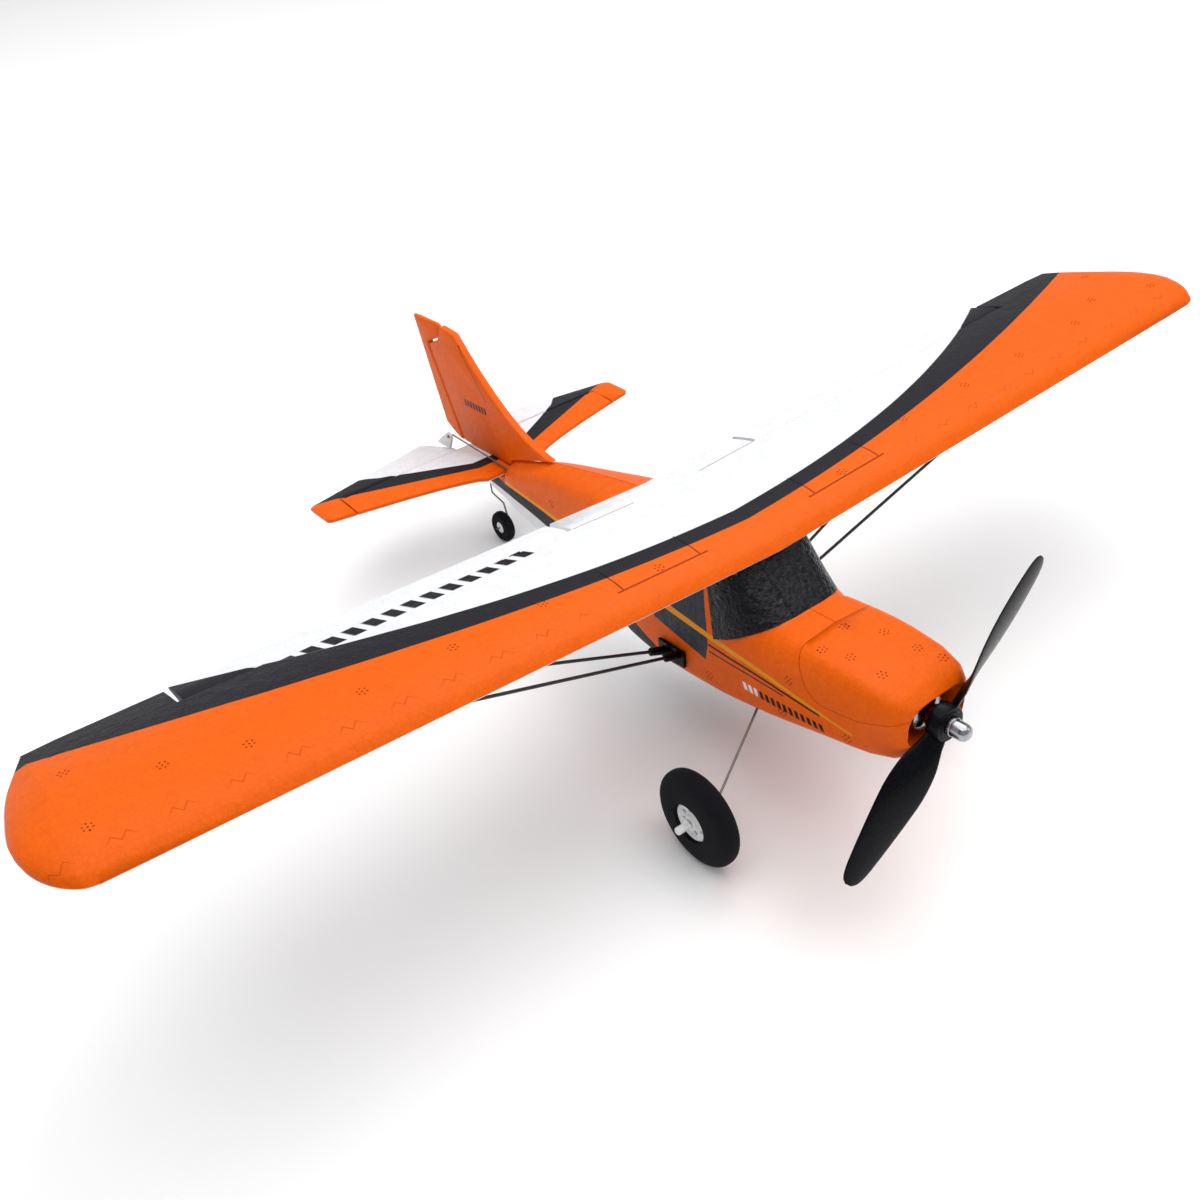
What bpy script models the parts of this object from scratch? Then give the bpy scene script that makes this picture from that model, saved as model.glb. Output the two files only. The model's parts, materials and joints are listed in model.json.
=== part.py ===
"""High-wing foam trainer aeroplane, tail down on its three wheels.

Lengths are in millimetres along the airframe's own datum: x to the aircraft's left, y aft from
the propeller disc, z up from the thrust line. Every piece hangs on the "airframe" empty, which
pitches the datum nose-up until both main wheels and the tail wheel stand on z = 0.
"""

import math

import bmesh
import bpy
from mathutils import Matrix, Vector

MM = 0.001
GAP = 0.35

# Stance
MAIN_WHEEL_Y, MAIN_WHEEL_Z, MAIN_WHEEL_R = 76.8, -57.8, 24.0
TAIL_WHEEL_Y, TAIL_WHEEL_Z, TAIL_WHEEL_R = 330.0, -38.7, 9.5
MID_LENGTH_Y = 193.2

# Wing
WING_LE, CHORD = 90.0, 95.0
WING_SEAT_Z = 40.4
DIHEDRAL = math.radians(2.66)
SPAN_HALF = 316.5
AIRFOIL_UPPER = ((0, 3.5), (2.5, 6.5), (5, 7.9), (10, 9.6), (20, 11.4), (30, 11.7), (40, 11.4),
                 (50, 10.5), (60, 9.15), (70, 7.35), (80, 5.2), (90, 2.8), (100, 0.1))
AIRFOIL_LOWER = ((1.5, 1.8), (5, 0.9), (12, 0.3), (30, 0), (60, 0), (100, 0))
TRAILING_EDGE = 1.15
# Tip outline: distance from centre, leading edge, trailing edge, share of full thickness
TIP_RIBS = ((298.0, 90.2, 181.0, 1.0), (303.0, 91.8, 171.5, 0.92), (308.0, 96.2, 161.5, 0.78),
            (312.0, 102.0, 151.0, 0.6), (315.0, 109.5, 139.0, 0.38), (SPAN_HALF, 118.0, 130.0, 0.14))

# Ailerons, in the frame of each half wing (z from its flat underside)
AILERON_X = (58.0, 240.0)
AILERON_END_GAP = 2.5
AILERON_HINGE = (169.0, 2.65)
AILERON_NOSE_R = 2.55
AILERON_TE = 184.6
AILERON_SERVO_X = (104.0, 124.0)
AILERON_ARM_X = 125.4
AILERON_ARM_Y, AILERON_ARM_Z = 136.0, 1.2
AILERON_LEVER = 9.0

SPAR_Y, SPAR_R = 124.8, 1.5
SPAR_X = (8.0, 230.0)

# Tail
TAILPLANE_Z, TAIL_HALF_T = 8.8, 2.4
ELEVATOR_HINGE_Y = 349.5
ELEVATOR_X = (11.5, 87.6, 88.4, 103.5)
ELEVATOR_LEVER = 11.0
ELEVATOR_HORN_X = 13.2
RUDDER_FOOT = (357.0, 15.9)
RUDDER_RAKE = 0.3855
RUDDER_NOSE_R = 2.2
RUDDER_LEVER = 11.0
RUDDER_HORN_Z = 21.4

# Small linkage parts
ARM_T, ARM_R, LINK_HOLE_R, LINK_WIRE_R = 1.6, 2.6, 1.3, 0.5
SERVO_ARM = 9.0
SERVO_Y, SERVO_X, SERVO_TOP = 140.0, 12.0, 15.2

# Undercarriage
TYRE_X = (62.5, 75.0)
TYRE_BORE_R, HUB_R, HUB_BORE_R = 9.9, 9.55, 1.0
GEAR_WIRE_R = 0.6
AXLE_BEND_X = 60.0
GEAR_BLOCK = (20.0, 82.5, 90.5, -29.2, -25.2)

# Power
PROP_R, PROP_HUB_R = 75.9, 8.0
PROP_CHORD, PROP_PITCH = 21.5, 76.0
PROP_REST = math.radians(47.4)
SHAFT_R, SHAFT_BORE_R = 1.5, 1.85
MOTOR_R = 9.0
OPENING_X, OPENING_Z = 17.0, 10.4
BAY_DEPTH = 32.0

# Fuselage cross-sections: station, ridge z, shoulder half-width and z, waist half-width and z,
# chine half-width and z, keel z
STATIONS = (
    (4.0, 10.8, 13.6, 10.5, 18.0, 5.5, 14.8, -10.5, -11.6),
    (6.0, 13.6, 16.6, 13.1, 20.8, 6.6, 17.8, -13.2, -14.4),
    (10.0, 16.2, 19.2, 15.5, 23.2, 8.0, 20.4, -15.4, -17.0),
    (20.0, 18.8, 21.2, 17.9, 25.2, 9.0, 22.6, -17.7, -19.2),
    (45.0, 20.6, 22.6, 19.5, 27.0, 9.0, 24.8, -21.2, -22.8),
    (72.0, 20.4, 21.0, 18.9, 28.2, 8.0, 26.4, -25.6, -27.2),
    (76.0, 20.2, 18.0, 19.4, 28.4, 9.0, 26.6, -26.2, -27.8),
    (84.0, 27.6, 16.5, 26.6, 28.6, 12.0, 26.8, -27.4, -29.1),
    (92.0, 35.2, 19.0, 34.4, 28.9, 12.0, 27.0, -28.4, -30.2),
    (97.5, 40.0, 22.4, 41.0, 29.0, 11.0, 27.2, -29.2, -31.0),
    (112.0, 40.0, 24.0, 41.1, 29.0, 8.0, 27.4, -30.4, -32.4),
    (150.0, 40.0, 23.6, 41.1, 29.0, 6.0, 27.0, -32.0, -34.8),
    (176.0, 40.0, 21.6, 41.0, 27.0, 6.0, 24.0, -32.4, -35.4),
    (187.0, 40.0, 20.4, 40.9, 25.0, 8.0, 21.4, -32.4, -35.2),
    (191.0, 39.0, 20.0, 35.4, 23.8, 10.0, 20.2, -32.2, -35.0),
    (205.0, 37.0, 18.2, 33.0, 19.6, 14.0, 16.2, -31.0, -34.0),
    (240.0, 31.0, 13.4, 27.0, 14.6, 10.0, 11.4, -25.6, -28.4),
    (262.0, 26.8, 11.2, 22.8, 12.2, 7.0, 9.2, -22.0, -24.8),
    (285.0, 20.0, 9.6, 15.6, 10.4, 3.0, 7.4, -17.2, -19.8),
    (303.2, 14.0, 8.4, 9.4, 9.0, 0.0, 6.2, -13.4, -15.8),
    (303.8, 6.0, 7.8, 5.8, 8.9, 0.0, 6.1, -13.2, -15.6),
    (330.0, 6.0, 5.6, 5.8, 6.6, 0.0, 4.4, -7.8, -9.8),
    (346.0, 6.0, 4.0, 5.8, 4.8, 0.0, 3.2, -4.4, -6.0),
)
STATION_STEP = 9.0
WALL = 5.0
SCREEN_IN, SCREEN_OUT = 0.85, 1.7
CAVITY_Y = (30.0, 45.0, 72.0, 92.0, 112.0, 150.0, 176.0, 187.0, 205.0, 240.0, 262.0, 285.0, 302.0)


def clear_scene():
    for obj in list(bpy.data.objects):
        bpy.data.objects.remove(obj)


def pitch_angle():
    run = TAIL_WHEEL_Y - MAIN_WHEEL_Y
    drop = MAIN_WHEEL_Z - TAIL_WHEEL_Z
    return math.asin((MAIN_WHEEL_R - TAIL_WHEEL_R) / math.hypot(run, drop)) - math.atan2(drop, run)


def add_empty(name, parent=None, location=(0, 0, 0), rotation=(0, 0, 0)):
    empty = bpy.data.objects.new(name, None)
    bpy.context.collection.objects.link(empty)
    empty.parent = parent
    empty.location = Vector(location) * MM
    empty.rotation_euler = rotation
    return empty


def make_airframe():
    pitch = pitch_angle()
    wheel_height = MAIN_WHEEL_Y * -math.sin(pitch) + MAIN_WHEEL_Z * math.cos(pitch)
    centre_y = MID_LENGTH_Y * math.cos(pitch)
    place = (0, -centre_y, MAIN_WHEEL_R - wheel_height)
    return add_empty("airframe", location=place, rotation=(-pitch, 0, 0))


def material(name, finish):
    colour, roughness, metallic = finish
    mat = bpy.data.materials.new(name)
    mat.use_nodes = True
    shader = mat.node_tree.nodes["Principled BSDF"]
    shader.inputs["Base Color"].default_value = (*colour, 1.0)
    shader.inputs["Roughness"].default_value = roughness
    shader.inputs["Metallic"].default_value = metallic
    mat.diffuse_color = (*colour, 1.0)
    return mat


ORANGE = ((0.95, 0.18, 0.01), 0.6, 0.0)
WHITE = ((0.88, 0.88, 0.9), 0.6, 0.0)
BLACK_FILM = ((0.01, 0.01, 0.015), 0.2, 0.0)
BLACK_PLASTIC = ((0.02, 0.02, 0.022), 0.4, 0.0)
BLACK_FOAM = ((0.015, 0.015, 0.017), 0.85, 0.0)
WHITE_PLASTIC = ((0.8, 0.8, 0.78), 0.4, 0.0)
STEEL = ((0.35, 0.32, 0.3), 0.3, 1.0)
ALUMINIUM = ((0.75, 0.75, 0.77), 0.25, 1.0)
RED_METAL = ((0.5, 0.08, 0.07), 0.3, 1.0)
CARBON = ((0.015, 0.015, 0.018), 0.35, 0.0)
SERVO_BLUE = ((0.03, 0.06, 0.25), 0.35, 0.0)
BOARD_GREEN = ((0.02, 0.15, 0.06), 0.5, 0.0)
PLY = ((0.55, 0.36, 0.18), 0.7, 0.0)


def place(name, bm, finish, parent, pivot=(0, 0, 0), smooth_angle=40.0):
    """Turns a mesh drawn in the parent's millimetres into an object whose origin is its pivot."""
    bmesh.ops.recalc_face_normals(bm, faces=bm.faces)
    bmesh.ops.translate(bm, verts=bm.verts, vec=-Vector(pivot))
    bmesh.ops.scale(bm, vec=(MM, MM, MM), verts=bm.verts)
    mesh = bpy.data.meshes.new(name)
    bm.to_mesh(mesh)
    bm.free()
    mesh.set_sharp_from_angle(angle=math.radians(smooth_angle))
    mesh.shade_smooth()
    mesh.set_sharp_from_angle(angle=math.radians(smooth_angle))
    obj = bpy.data.objects.new(name, mesh)
    bpy.context.collection.objects.link(obj)
    obj.location = Vector(pivot) * MM
    obj.parent = parent
    mesh.materials.append(material(name, finish))
    return obj


def combine(target, name, bm, operation="DIFFERENCE", frame=None):
    """Cuts a helper solid, drawn in the target's frame or in another, or joins or keeps what they share."""
    helper = place(name, bm, BLACK_PLASTIC, frame or target.parent)
    helper.hide_render = True
    helper.display_type = "WIRE"
    boolean = target.modifiers.new(name, "BOOLEAN")
    boolean.operation = operation
    boolean.solver = "EXACT"
    boolean.object = helper


def round_edges(obj, width, segments=2, angle=40.0):
    bevel = obj.modifiers.new("edge_radius", "BEVEL")
    bevel.width = width * MM
    bevel.segments = segments
    bevel.limit_method = "ANGLE"
    bevel.angle_limit = math.radians(angle)


def loft(rings):
    bm = bmesh.new()
    loops = [[bm.verts.new(point) for point in ring] for ring in rings]
    for here, there in zip(loops, loops[1:]):
        count = len(here)
        for i in range(count):
            j = (i + 1) % count
            bm.faces.new((here[i], here[j], there[j], there[i]))
    bm.faces.new(loops[0])
    bm.faces.new(loops[-1])
    return bm


def box(x0, x1, y0, y1, z0, z1):
    lower = [(x0, y0, z0), (x1, y0, z0), (x1, y1, z0), (x0, y1, z0)]
    return loft([lower, [(x, y, z1) for x, y, _ in lower]])


def prism(outline, x0, x1):
    """An outline in the y-z plane, drawn out along x."""
    return loft([[(x, y, z) for y, z in outline] for x in (x0, x1)])


def rod(points, radius, segments=10):
    """A round wire along a bent line, with mitred bends and flat ends."""
    path = [Vector(point) for point in points]
    steps = [(b - a).normalized() for a, b in zip(path, path[1:])]
    side = steps[0].cross(Vector((0.13, 0.31, 0.94))).normalized()
    rings = []
    for i, centre in enumerate(path):
        before = steps[max(i - 1, 0)]
        after = steps[min(i, len(steps) - 1)]
        normal = (before + after).normalized()
        if i:
            side = (side - before * side.dot(before)).normalized()
        up = before.cross(side)
        ring = []
        for k in range(segments):
            turn = 2 * math.pi * k / segments
            spoke = side * math.cos(turn) * radius + up * math.sin(turn) * radius
            spoke -= before * (spoke.dot(normal) / before.dot(normal))
            ring.append(centre + spoke)
        rings.append(ring)
    return loft(rings)


def turned(profile, centre, axis, segments=28, closed=False):
    """Revolves (radius, distance along the axis) about an axis; a closed profile has a bore."""
    along = Vector(axis).normalized()
    side = along.orthogonal().normalized()
    up = along.cross(side)
    bm = bmesh.new()
    rings = []
    for radius, height in profile:
        foot = Vector(centre) + along * height
        if radius == 0:
            rings.append([bm.verts.new(foot)])
            continue
        turns = [2 * math.pi * k / segments for k in range(segments)]
        rings.append([bm.verts.new(foot + (side * math.cos(t) + up * math.sin(t)) * radius) for t in turns])
    pairs = list(zip(rings, rings[1:]))
    if closed:
        pairs.append((rings[-1], rings[0]))
    for here, there in pairs:
        for k in range(segments):
            j = (k + 1) % segments
            corners = [here[k % len(here)], here[j % len(here)], there[j % len(there)], there[k % len(there)]]
            bm.faces.new(list(dict.fromkeys(corners)))
    return bm


def cylinder(start, end, radius, segments=16):
    return rod([start, end], radius, segments)


def stadium(a, b, radius, segments=6):
    """The outline of a lever between two pin centres, in its own plane."""
    direction = math.atan2(b[1] - a[1], b[0] - a[0])
    outline = []
    for centre, start in ((b, direction - math.pi / 2), (a, direction + math.pi / 2)):
        for k in range(segments + 1):
            turn = start + math.pi * k / segments
            outline.append((centre[0] + radius * math.cos(turn), centre[1] + radius * math.sin(turn)))
    return outline


# Fuselage


def section(station, grow=0.0):
    """Half a cross-section from ridge to keel: right-hand corners rounded, moved out by grow."""
    y, ridge, shoulder_x, shoulder_z, waist_x, waist_z, chine_x, chine_z, keel = station
    corners = [
        (0.0, ridge + grow),
        (shoulder_x + grow, shoulder_z + grow),
        (waist_x + grow, waist_z),
        (chine_x + grow, chine_z - grow),
        (0.0, keel - grow),
    ]
    points = [corners[0]]
    for before, corner, after in zip(corners, corners[1:], corners[2:]):
        a, b, c = Vector(before), Vector(corner), Vector(after)
        reach = min(0.45 * (b - a).length, 0.45 * (c - b).length, 8.0)
        start = b + (a - b).normalized() * reach
        end = b + (c - b).normalized() * reach
        for t in (0.0, 0.25, 0.5, 0.75, 1.0):
            mid = start.lerp(b, t).lerp(b.lerp(end, t), t)
            points.append((mid.x, mid.y))
    points.append(corners[-1])
    return y, points


def station_flow(column):
    """How fast one dimension changes at each station, held level at every crest so nothing overshoots."""
    rates = []
    for low, high in zip(STATIONS, STATIONS[1:]):
        rates.append((high[column] - low[column]) / (high[0] - low[0]))
    flow = [rates[0]]
    for before, after in zip(rates, rates[1:]):
        flow.append(0.0 if before * after <= 0 else 2 * before * after / (before + after))
    return flow + [rates[-1]]


def faired_stations():
    """The stations with smooth in-between sections, a few millimetres apart."""
    flows = [station_flow(column) for column in range(len(STATIONS[0]))]
    faired = []
    for i, (low, high) in enumerate(zip(STATIONS, STATIONS[1:])):
        length = high[0] - low[0]
        parts = max(1, round(length / STATION_STEP))
        for k in range(parts):
            t = k / parts
            row = [low[0] + length * t]
            for column in range(1, len(low)):
                start, end = flows[column][i] * length, flows[column][i + 1] * length
                rise = high[column] - low[column]
                bend = (3 * rise - 2 * start - end) * t**2 + (start + end - 2 * rise) * t**3
                row.append(low[column] + start * t + bend)
            faired.append(tuple(row))
    return faired + [STATIONS[-1]]


def blend_station(y):
    for low, high in zip(STATIONS, STATIONS[1:]):
        if low[0] <= y <= high[0]:
            t = (y - low[0]) / (high[0] - low[0])
            return tuple(a + (b - a) * t for a, b in zip(low, high))
    return STATIONS[-1]


def half_body(side, grow=0.0):
    """One moulded half: the outer skin, closed just short of the middle plane."""
    rings = []
    for station in faired_stations():
        y, points = section(station, grow)
        rings.append([(side * max(x, GAP / 2), y, z) for x, z in points])
    return loft(rings)


def whole_body(stations, grow):
    rings = []
    for station in stations:
        y, points = section(station, grow)
        left = [(x, y, z) for x, z in points]
        right = [(-x, y, z) for x, z in reversed(points[1:-1])]
        rings.append(left + right)
    return loft(rings)


def cavity():
    stations = []
    for y in CAVITY_Y:
        station = blend_station(y)
        wall = min(WALL, 0.5 * station[2])
        inner = [y]
        for i, value in enumerate(station[1:], 1):
            inner.append(value)
            if i in (2, 4, 6):
                inner[i] = value - wall
            if i in (1, 3):
                inner[i] = value - wall
            if i in (7, 8):
                inner[i] = value + wall
        stations.append(tuple(inner))
    return whole_body(stations, 0.0)


HATCH_SEAM = ((-2.0, 8.6), (10.0, 5.4), (23.0, 1.2), (41.0, -0.4), (46.0, 0.6), (50.0, 5.0),
              (55.0, 13.0), (59.0, 21.0), (62.0, 30.0))


def hatch_prism(gap):
    outline = [(y + gap, z - gap) for y, z in HATCH_SEAM]
    return prism([(-2.0 + gap, 30.0), *outline], -40, 40)


def motor_opening(depth):
    """Rounded rectangle in the nose, a little larger than the turning motor."""
    outline = []
    for k in range(24):
        turn = 2 * math.pi * k / 24 + 0.13
        across, up = math.cos(turn), math.sin(turn)
        outline.append((OPENING_X * math.copysign(abs(across) ** 0.7, across),
                        OPENING_Z * math.copysign(abs(up) ** 0.7, up)))
    return loft([[(x, y, z) for x, z in outline] for y in (0.0, depth)])


def rod_tunnel():
    """Clearance round a tail pushrod where it climbs out through the foam."""
    return cylinder((2.8, 288.0, 6.8), (7.0, 323.0, 14.05), 1.7, 12)


def make_fuselage(airframe):
    for side, name in ((-1, "right"), (1, "left")):
        shell = place("fuselage_" + name, half_body(side), ORANGE, airframe)
        combine(shell, name + "_hollow", cavity())
        combine(shell, name + "_hatch_gap", hatch_prism(GAP))
        combine(shell, name + "_motor_bay", motor_opening(BAY_DEPTH))
        x, y0, y1, z0, z1 = GEAR_BLOCK
        combine(shell, name + "_gear_slot", box(-x - GAP, x + GAP, y0 - GAP, y1 + GAP, z0 - 6, z1 + GAP))
        middle = (y0 + y1) / 2
        groove = box(x * 0.9, x + 15, middle - 1.2, middle + 1.2, z0 - 8, z1 - 0.6)
        combine(shell, name + "_gear_wire_groove", sided(groove, side))
        combine(shell, name + "_rod_exit", sided(rod_tunnel(), side))
        combine(shell, name + "_tail_leg_hole", cylinder((0, 336, -20), (0, 336, -1.0), 0.95))
    nose = [s for s in faired_stations() if s[0] < 80.0]
    hatch = place("battery_hatch", whole_body(nose, 0.0), ORANGE, airframe)
    combine(hatch, "hatch_shape", hatch_prism(0.0), "INTERSECT")
    inner = [(s[0], s[1] - 4, s[2] - 3, s[3] - 4, s[4] - 4, s[5] - 3, s[6] - 2, s[7] - 6, s[8] - 6)
             for s in STATIONS[2:5]]
    inner.append((52.0, 16.4, 18.6, 15.2, 23.2, 6.0, 20.0, -28.0, -30.0))
    combine(hatch, "hatch_hollow", whole_body(inner, 0.0))
    combine(hatch, "hatch_motor_bay", motor_opening(BAY_DEPTH))


def make_windshield(airframe):
    """Thin vacuum-formed screen that wraps the front of the cabin."""
    cabin_front = [s for s in faired_stations() if 70.0 < s[0] < 160.0]
    screen = place("windshield", whole_body(cabin_front, SCREEN_OUT), BLACK_FILM, airframe)
    side_view = [(74.6, 26.0), (75.2, 18.6), (83.0, 14.8), (92.0, 9.8), (103.6, 5.6), (110.2, 29.0),
                 (111.0, 39.4), (82.0, 39.4)]
    combine(screen, "screen_outline", prism(side_view, -40, 40), "INTERSECT")
    combine(screen, "screen_inside", whole_body(cabin_front, SCREEN_IN))


# Wing


def airfoil(scale=1.0, lead=WING_LE, trail=WING_LE + CHORD):
    length = trail - lead
    top = [(lead + length * u / 100, (CHORD * v / 100 + TRAILING_EDGE * u / 100) * scale)
           for u, v in reversed(AIRFOIL_UPPER)]
    bottom = [(lead + length * u / 100, CHORD * v / 100 * scale) for u, v in AIRFOIL_LOWER]
    return top + bottom


def make_wing(airframe):
    ribs = [(x, WING_LE, WING_LE + CHORD - 3.0 * (x / 290) ** 3, 1.0) for x in (0, 60, 140, 220, 285)]
    ribs += TIP_RIBS
    rings = []
    for side in (-1, 1):
        half = []
        for x, lead, trail, scale in ribs[1:] if side < 0 else ribs:
            rise = WING_SEAT_Z + x * math.tan(DIHEDRAL) + (1 - scale) * 4.2
            half.append([(side * x, y, z + rise) for y, z in airfoil(scale, lead, trail)])
        rings += reversed(half) if side < 0 else half
    wing = place("wing", loft(rings), ORANGE, airframe)
    for side, name in ((-1, "right"), (1, "left")):
        frame = add_empty("wing_frame_" + name, airframe, (0, 0, WING_SEAT_Z), (0, -side * DIHEDRAL, 0))
        make_half_wing(wing, frame, side, name)


def sided(bm, side):
    if side < 0:
        bmesh.ops.scale(bm, vec=(-1, 1, 1), verts=bm.verts)
    return bm


def make_half_wing(wing, frame, side, name):
    x0, x1 = AILERON_X
    hinge_y, hinge_z = AILERON_HINGE
    cove = hinge_y - AILERON_NOSE_R - 0.65
    bay = box(x0 - AILERON_END_GAP, x1 + AILERON_END_GAP, cove, 195, -6, 20)
    combine(wing, name + "_aileron_bay", sided(bay, side), frame=frame)
    slot = box(SPAR_X[0] - 1, SPAR_X[1] + 1, SPAR_Y - 1.85, SPAR_Y + 1.85, -3, 3.7)
    combine(wing, name + "_spar_slot", sided(slot, side), frame=frame)
    s0, s1 = AILERON_SERVO_X
    pocket = box(s0 - GAP, AILERON_ARM_X + 3.0, 129.6, 151.0, -4, 6.0)
    combine(wing, name + "_servo_pocket", sided(pocket, side), frame=frame)

    spar = cylinder((SPAR_X[0], SPAR_Y, 1.85), (SPAR_X[1], SPAR_Y, 1.85), SPAR_R, 10)
    place("spar_" + name, sided(spar, side), CARBON, frame)

    rings = []
    for x in (x0, x1):
        ring = []
        for k in range(9):
            turn = math.radians(90 + 180 * k / 8)
            ring.append((x, hinge_y + AILERON_NOSE_R * math.cos(turn),
                         hinge_z + AILERON_NOSE_R * math.sin(turn)))
        ring += [(x, AILERON_TE, 0.1), (x, AILERON_TE, 0.1 + TRAILING_EDGE), (x, 177.0, 3.3)]
        rings.append(ring)
    pivot = (side * (x0 + x1) / 2, hinge_y, hinge_z)
    place("aileron_" + name, sided(loft(rings), side), WHITE, frame, pivot)

    hole_z = hinge_z - AILERON_LEVER
    horn_outline = [(167.2, -0.3), (177.5, -0.3), (174.5, -3.5), (171.4, hole_z - 1.2), (169.8, hole_z - 2.3),
                    (168.2, hole_z - 2.3), (166.8, hole_z - 1.2)]
    half_t = ARM_T / 2
    horn = prism(horn_outline, AILERON_ARM_X - half_t, AILERON_ARM_X + half_t)
    horn_obj = place("aileron_horn_" + name, sided(horn, side), WHITE_PLASTIC, frame, pivot)
    hole = cylinder((AILERON_ARM_X - 4, hinge_y, hole_z), (AILERON_ARM_X + 4, hinge_y, hole_z), LINK_HOLE_R)
    combine(horn_obj, name + "_aileron_horn_hole", sided(hole, side))

    servo = box(s0, s1, 130.2, 150.2, -1.8, 5.6)
    place("aileron_servo_" + name, sided(servo, side), SERVO_BLUE, frame)
    round_edges(bpy.data.objects["aileron_servo_" + name], 0.6, 1)
    tip_z = AILERON_ARM_Z - AILERON_LEVER
    arm_outline = stadium((AILERON_ARM_Y, AILERON_ARM_Z), (AILERON_ARM_Y, tip_z), ARM_R)
    arm = prism(arm_outline, AILERON_ARM_X - half_t, AILERON_ARM_X + half_t)
    arm_pivot = (side * AILERON_ARM_X, AILERON_ARM_Y, AILERON_ARM_Z)
    arm_obj = place("aileron_servo_arm_" + name, sided(arm, side), WHITE_PLASTIC, frame, arm_pivot)
    hole = cylinder((AILERON_ARM_X - 4, AILERON_ARM_Y, tip_z), (AILERON_ARM_X + 4, AILERON_ARM_Y, tip_z),
                    LINK_HOLE_R)
    combine(arm_obj, name + "_aileron_arm_hole", sided(hole, side))
    inner_x, outer_x = AILERON_ARM_X - 1.7, AILERON_ARM_X + 2.0
    wire = rod([(inner_x, AILERON_ARM_Y, tip_z), (outer_x, AILERON_ARM_Y, tip_z), (outer_x, hinge_y, hole_z),
                (inner_x, hinge_y, hole_z)], LINK_WIRE_R, 8)
    place("aileron_pushrod_" + name, sided(wire, side), STEEL, frame)


# Wing struts

STRUT_R, STRUT_SOCKET_R, STRUT_SLEEVE_R = 0.8, 1.15, 2.1
STRUT_LINES = (((29.5, 131.5, -17.6), (187.5, 112.8, 45.8)), ((29.5, 141.5, -19.8), (195.5, 146.4, 46.2)))


def make_struts(airframe):
    for side, name in ((-1, "right"), (1, "left")):
        bracket = place("strut_bracket_" + name, sided(box(28.6, 30.2, 127.5, 145.5, -23.0, -14.5), side),
                        BLACK_PLASTIC, airframe)
        frame = bpy.data.objects["wing_frame_" + name]
        plate = place("strut_plate_" + name, sided(box(186.0, 202.0, 106.5, 152.5, -1.7, -0.4), side),
                      BLACK_PLASTIC, frame)
        for (foot, head), row in zip(STRUT_LINES, ("front", "rear")):
            low, high = Vector(foot), Vector(head)
            way = (high - low).normalized()
            sleeve = cylinder(low, low + way * 9.0, STRUT_SLEEVE_R, 12)
            combine(bracket, f"{name}_{row}_sleeve", sided(sleeve, side), "UNION")
            bore = cylinder(low + way * 2.5, low + way * 14.0, STRUT_SOCKET_R, 12)
            combine(bracket, f"{name}_{row}_sleeve_bore", sided(bore, side))
            lug = box(high.x - 1.0, high.x + 6.0, high.y - 2.6, high.y + 2.6, -6.4, -1.2)
            combine(plate, f"{name}_{row}_lug", sided(lug, side), "UNION")
            lug_bore = cylinder(low + way * 40.0, high + way * 3.0, STRUT_SOCKET_R, 12)
            combine(plate, f"{name}_{row}_lug_bore", sided(lug_bore, side), frame=airframe)
            strut = cylinder(low + way * 2.9, high + way * 2.6, STRUT_R, 10)
            place(f"strut_{row}_{name}", sided(strut, side), CARBON, airframe)


# Tail


def rib(nose, nose_r, full, full_half, tail, tail_half):
    """Chordwise outline as (chord, thickness) pairs: round nose, full depth, tapering tail."""
    points = []
    for k in range(7):
        turn = math.radians(90 + 180 * k / 6)
        points.append((nose + nose_r + nose_r * math.cos(turn), nose_r * math.sin(turn)))
    points += [(full, -full_half), (tail, -tail_half), (tail, tail_half), (full, full_half)]
    return points


def tail_lead(x):
    return 305.0 + 27.5 * (max(0.0, x - 18.0) / 85.0) ** 0.68


def tail_trail(x):
    return 372.8 - max(0.0, x - 22.0) * 17.3 / 81.5


def make_tailplane(airframe):
    rear = ELEVATOR_HINGE_Y - TAIL_HALF_T - 0.6
    limit = ELEVATOR_X[1]
    rings = []
    spans = (18.0, 22.0, 30.0, 42.0, 60.0, limit)
    for x in [-span for span in reversed(spans)] + list(spans):
        lead = tail_lead(abs(x))
        outline = rib(lead, 1.5, lead + 12.0, TAIL_HALF_T, rear, TAIL_HALF_T)
        rings.append([(x, y, TAILPLANE_Z + z) for y, z in outline])
    tailplane = place("tailplane", loft(rings), WHITE, airframe)
    for side, name in ((-1, "right"), (1, "left")):
        combine(tailplane, name + "_rod_slot", sided(rod_tunnel(), side))
        make_elevator(airframe, side, name)
    joiner = cylinder((-15.6, ELEVATOR_HINGE_Y, TAILPLANE_Z), (15.6, ELEVATOR_HINGE_Y, TAILPLANE_Z), 1.0, 10)
    pivot = (0, ELEVATOR_HINGE_Y, TAILPLANE_Z)
    place("elevator_joiner", joiner, STEEL, airframe, pivot)
    hole_z = TAILPLANE_Z + ELEVATOR_LEVER
    base_z = TAILPLANE_Z + TAIL_HALF_T + 0.3
    outline = [(351.5, base_z), (365.0, base_z), (360.0, 15.5), (352.2, hole_z + 1.2), (350.6, hole_z + 2.3),
               (348.6, hole_z + 2.3), (347.2, hole_z + 1.0), (347.4, hole_z - 1.4)]
    horn = prism(outline, -ELEVATOR_HORN_X - ARM_T / 2, -ELEVATOR_HORN_X + ARM_T / 2)
    horn_obj = place("elevator_horn", horn, WHITE_PLASTIC, airframe, pivot)
    hole = cylinder((-ELEVATOR_HORN_X - 4, ELEVATOR_HINGE_Y, hole_z),
                    (-ELEVATOR_HORN_X + 4, ELEVATOR_HINGE_Y, hole_z), LINK_HOLE_R)
    combine(horn_obj, "elevator_horn_hole", hole)


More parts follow.
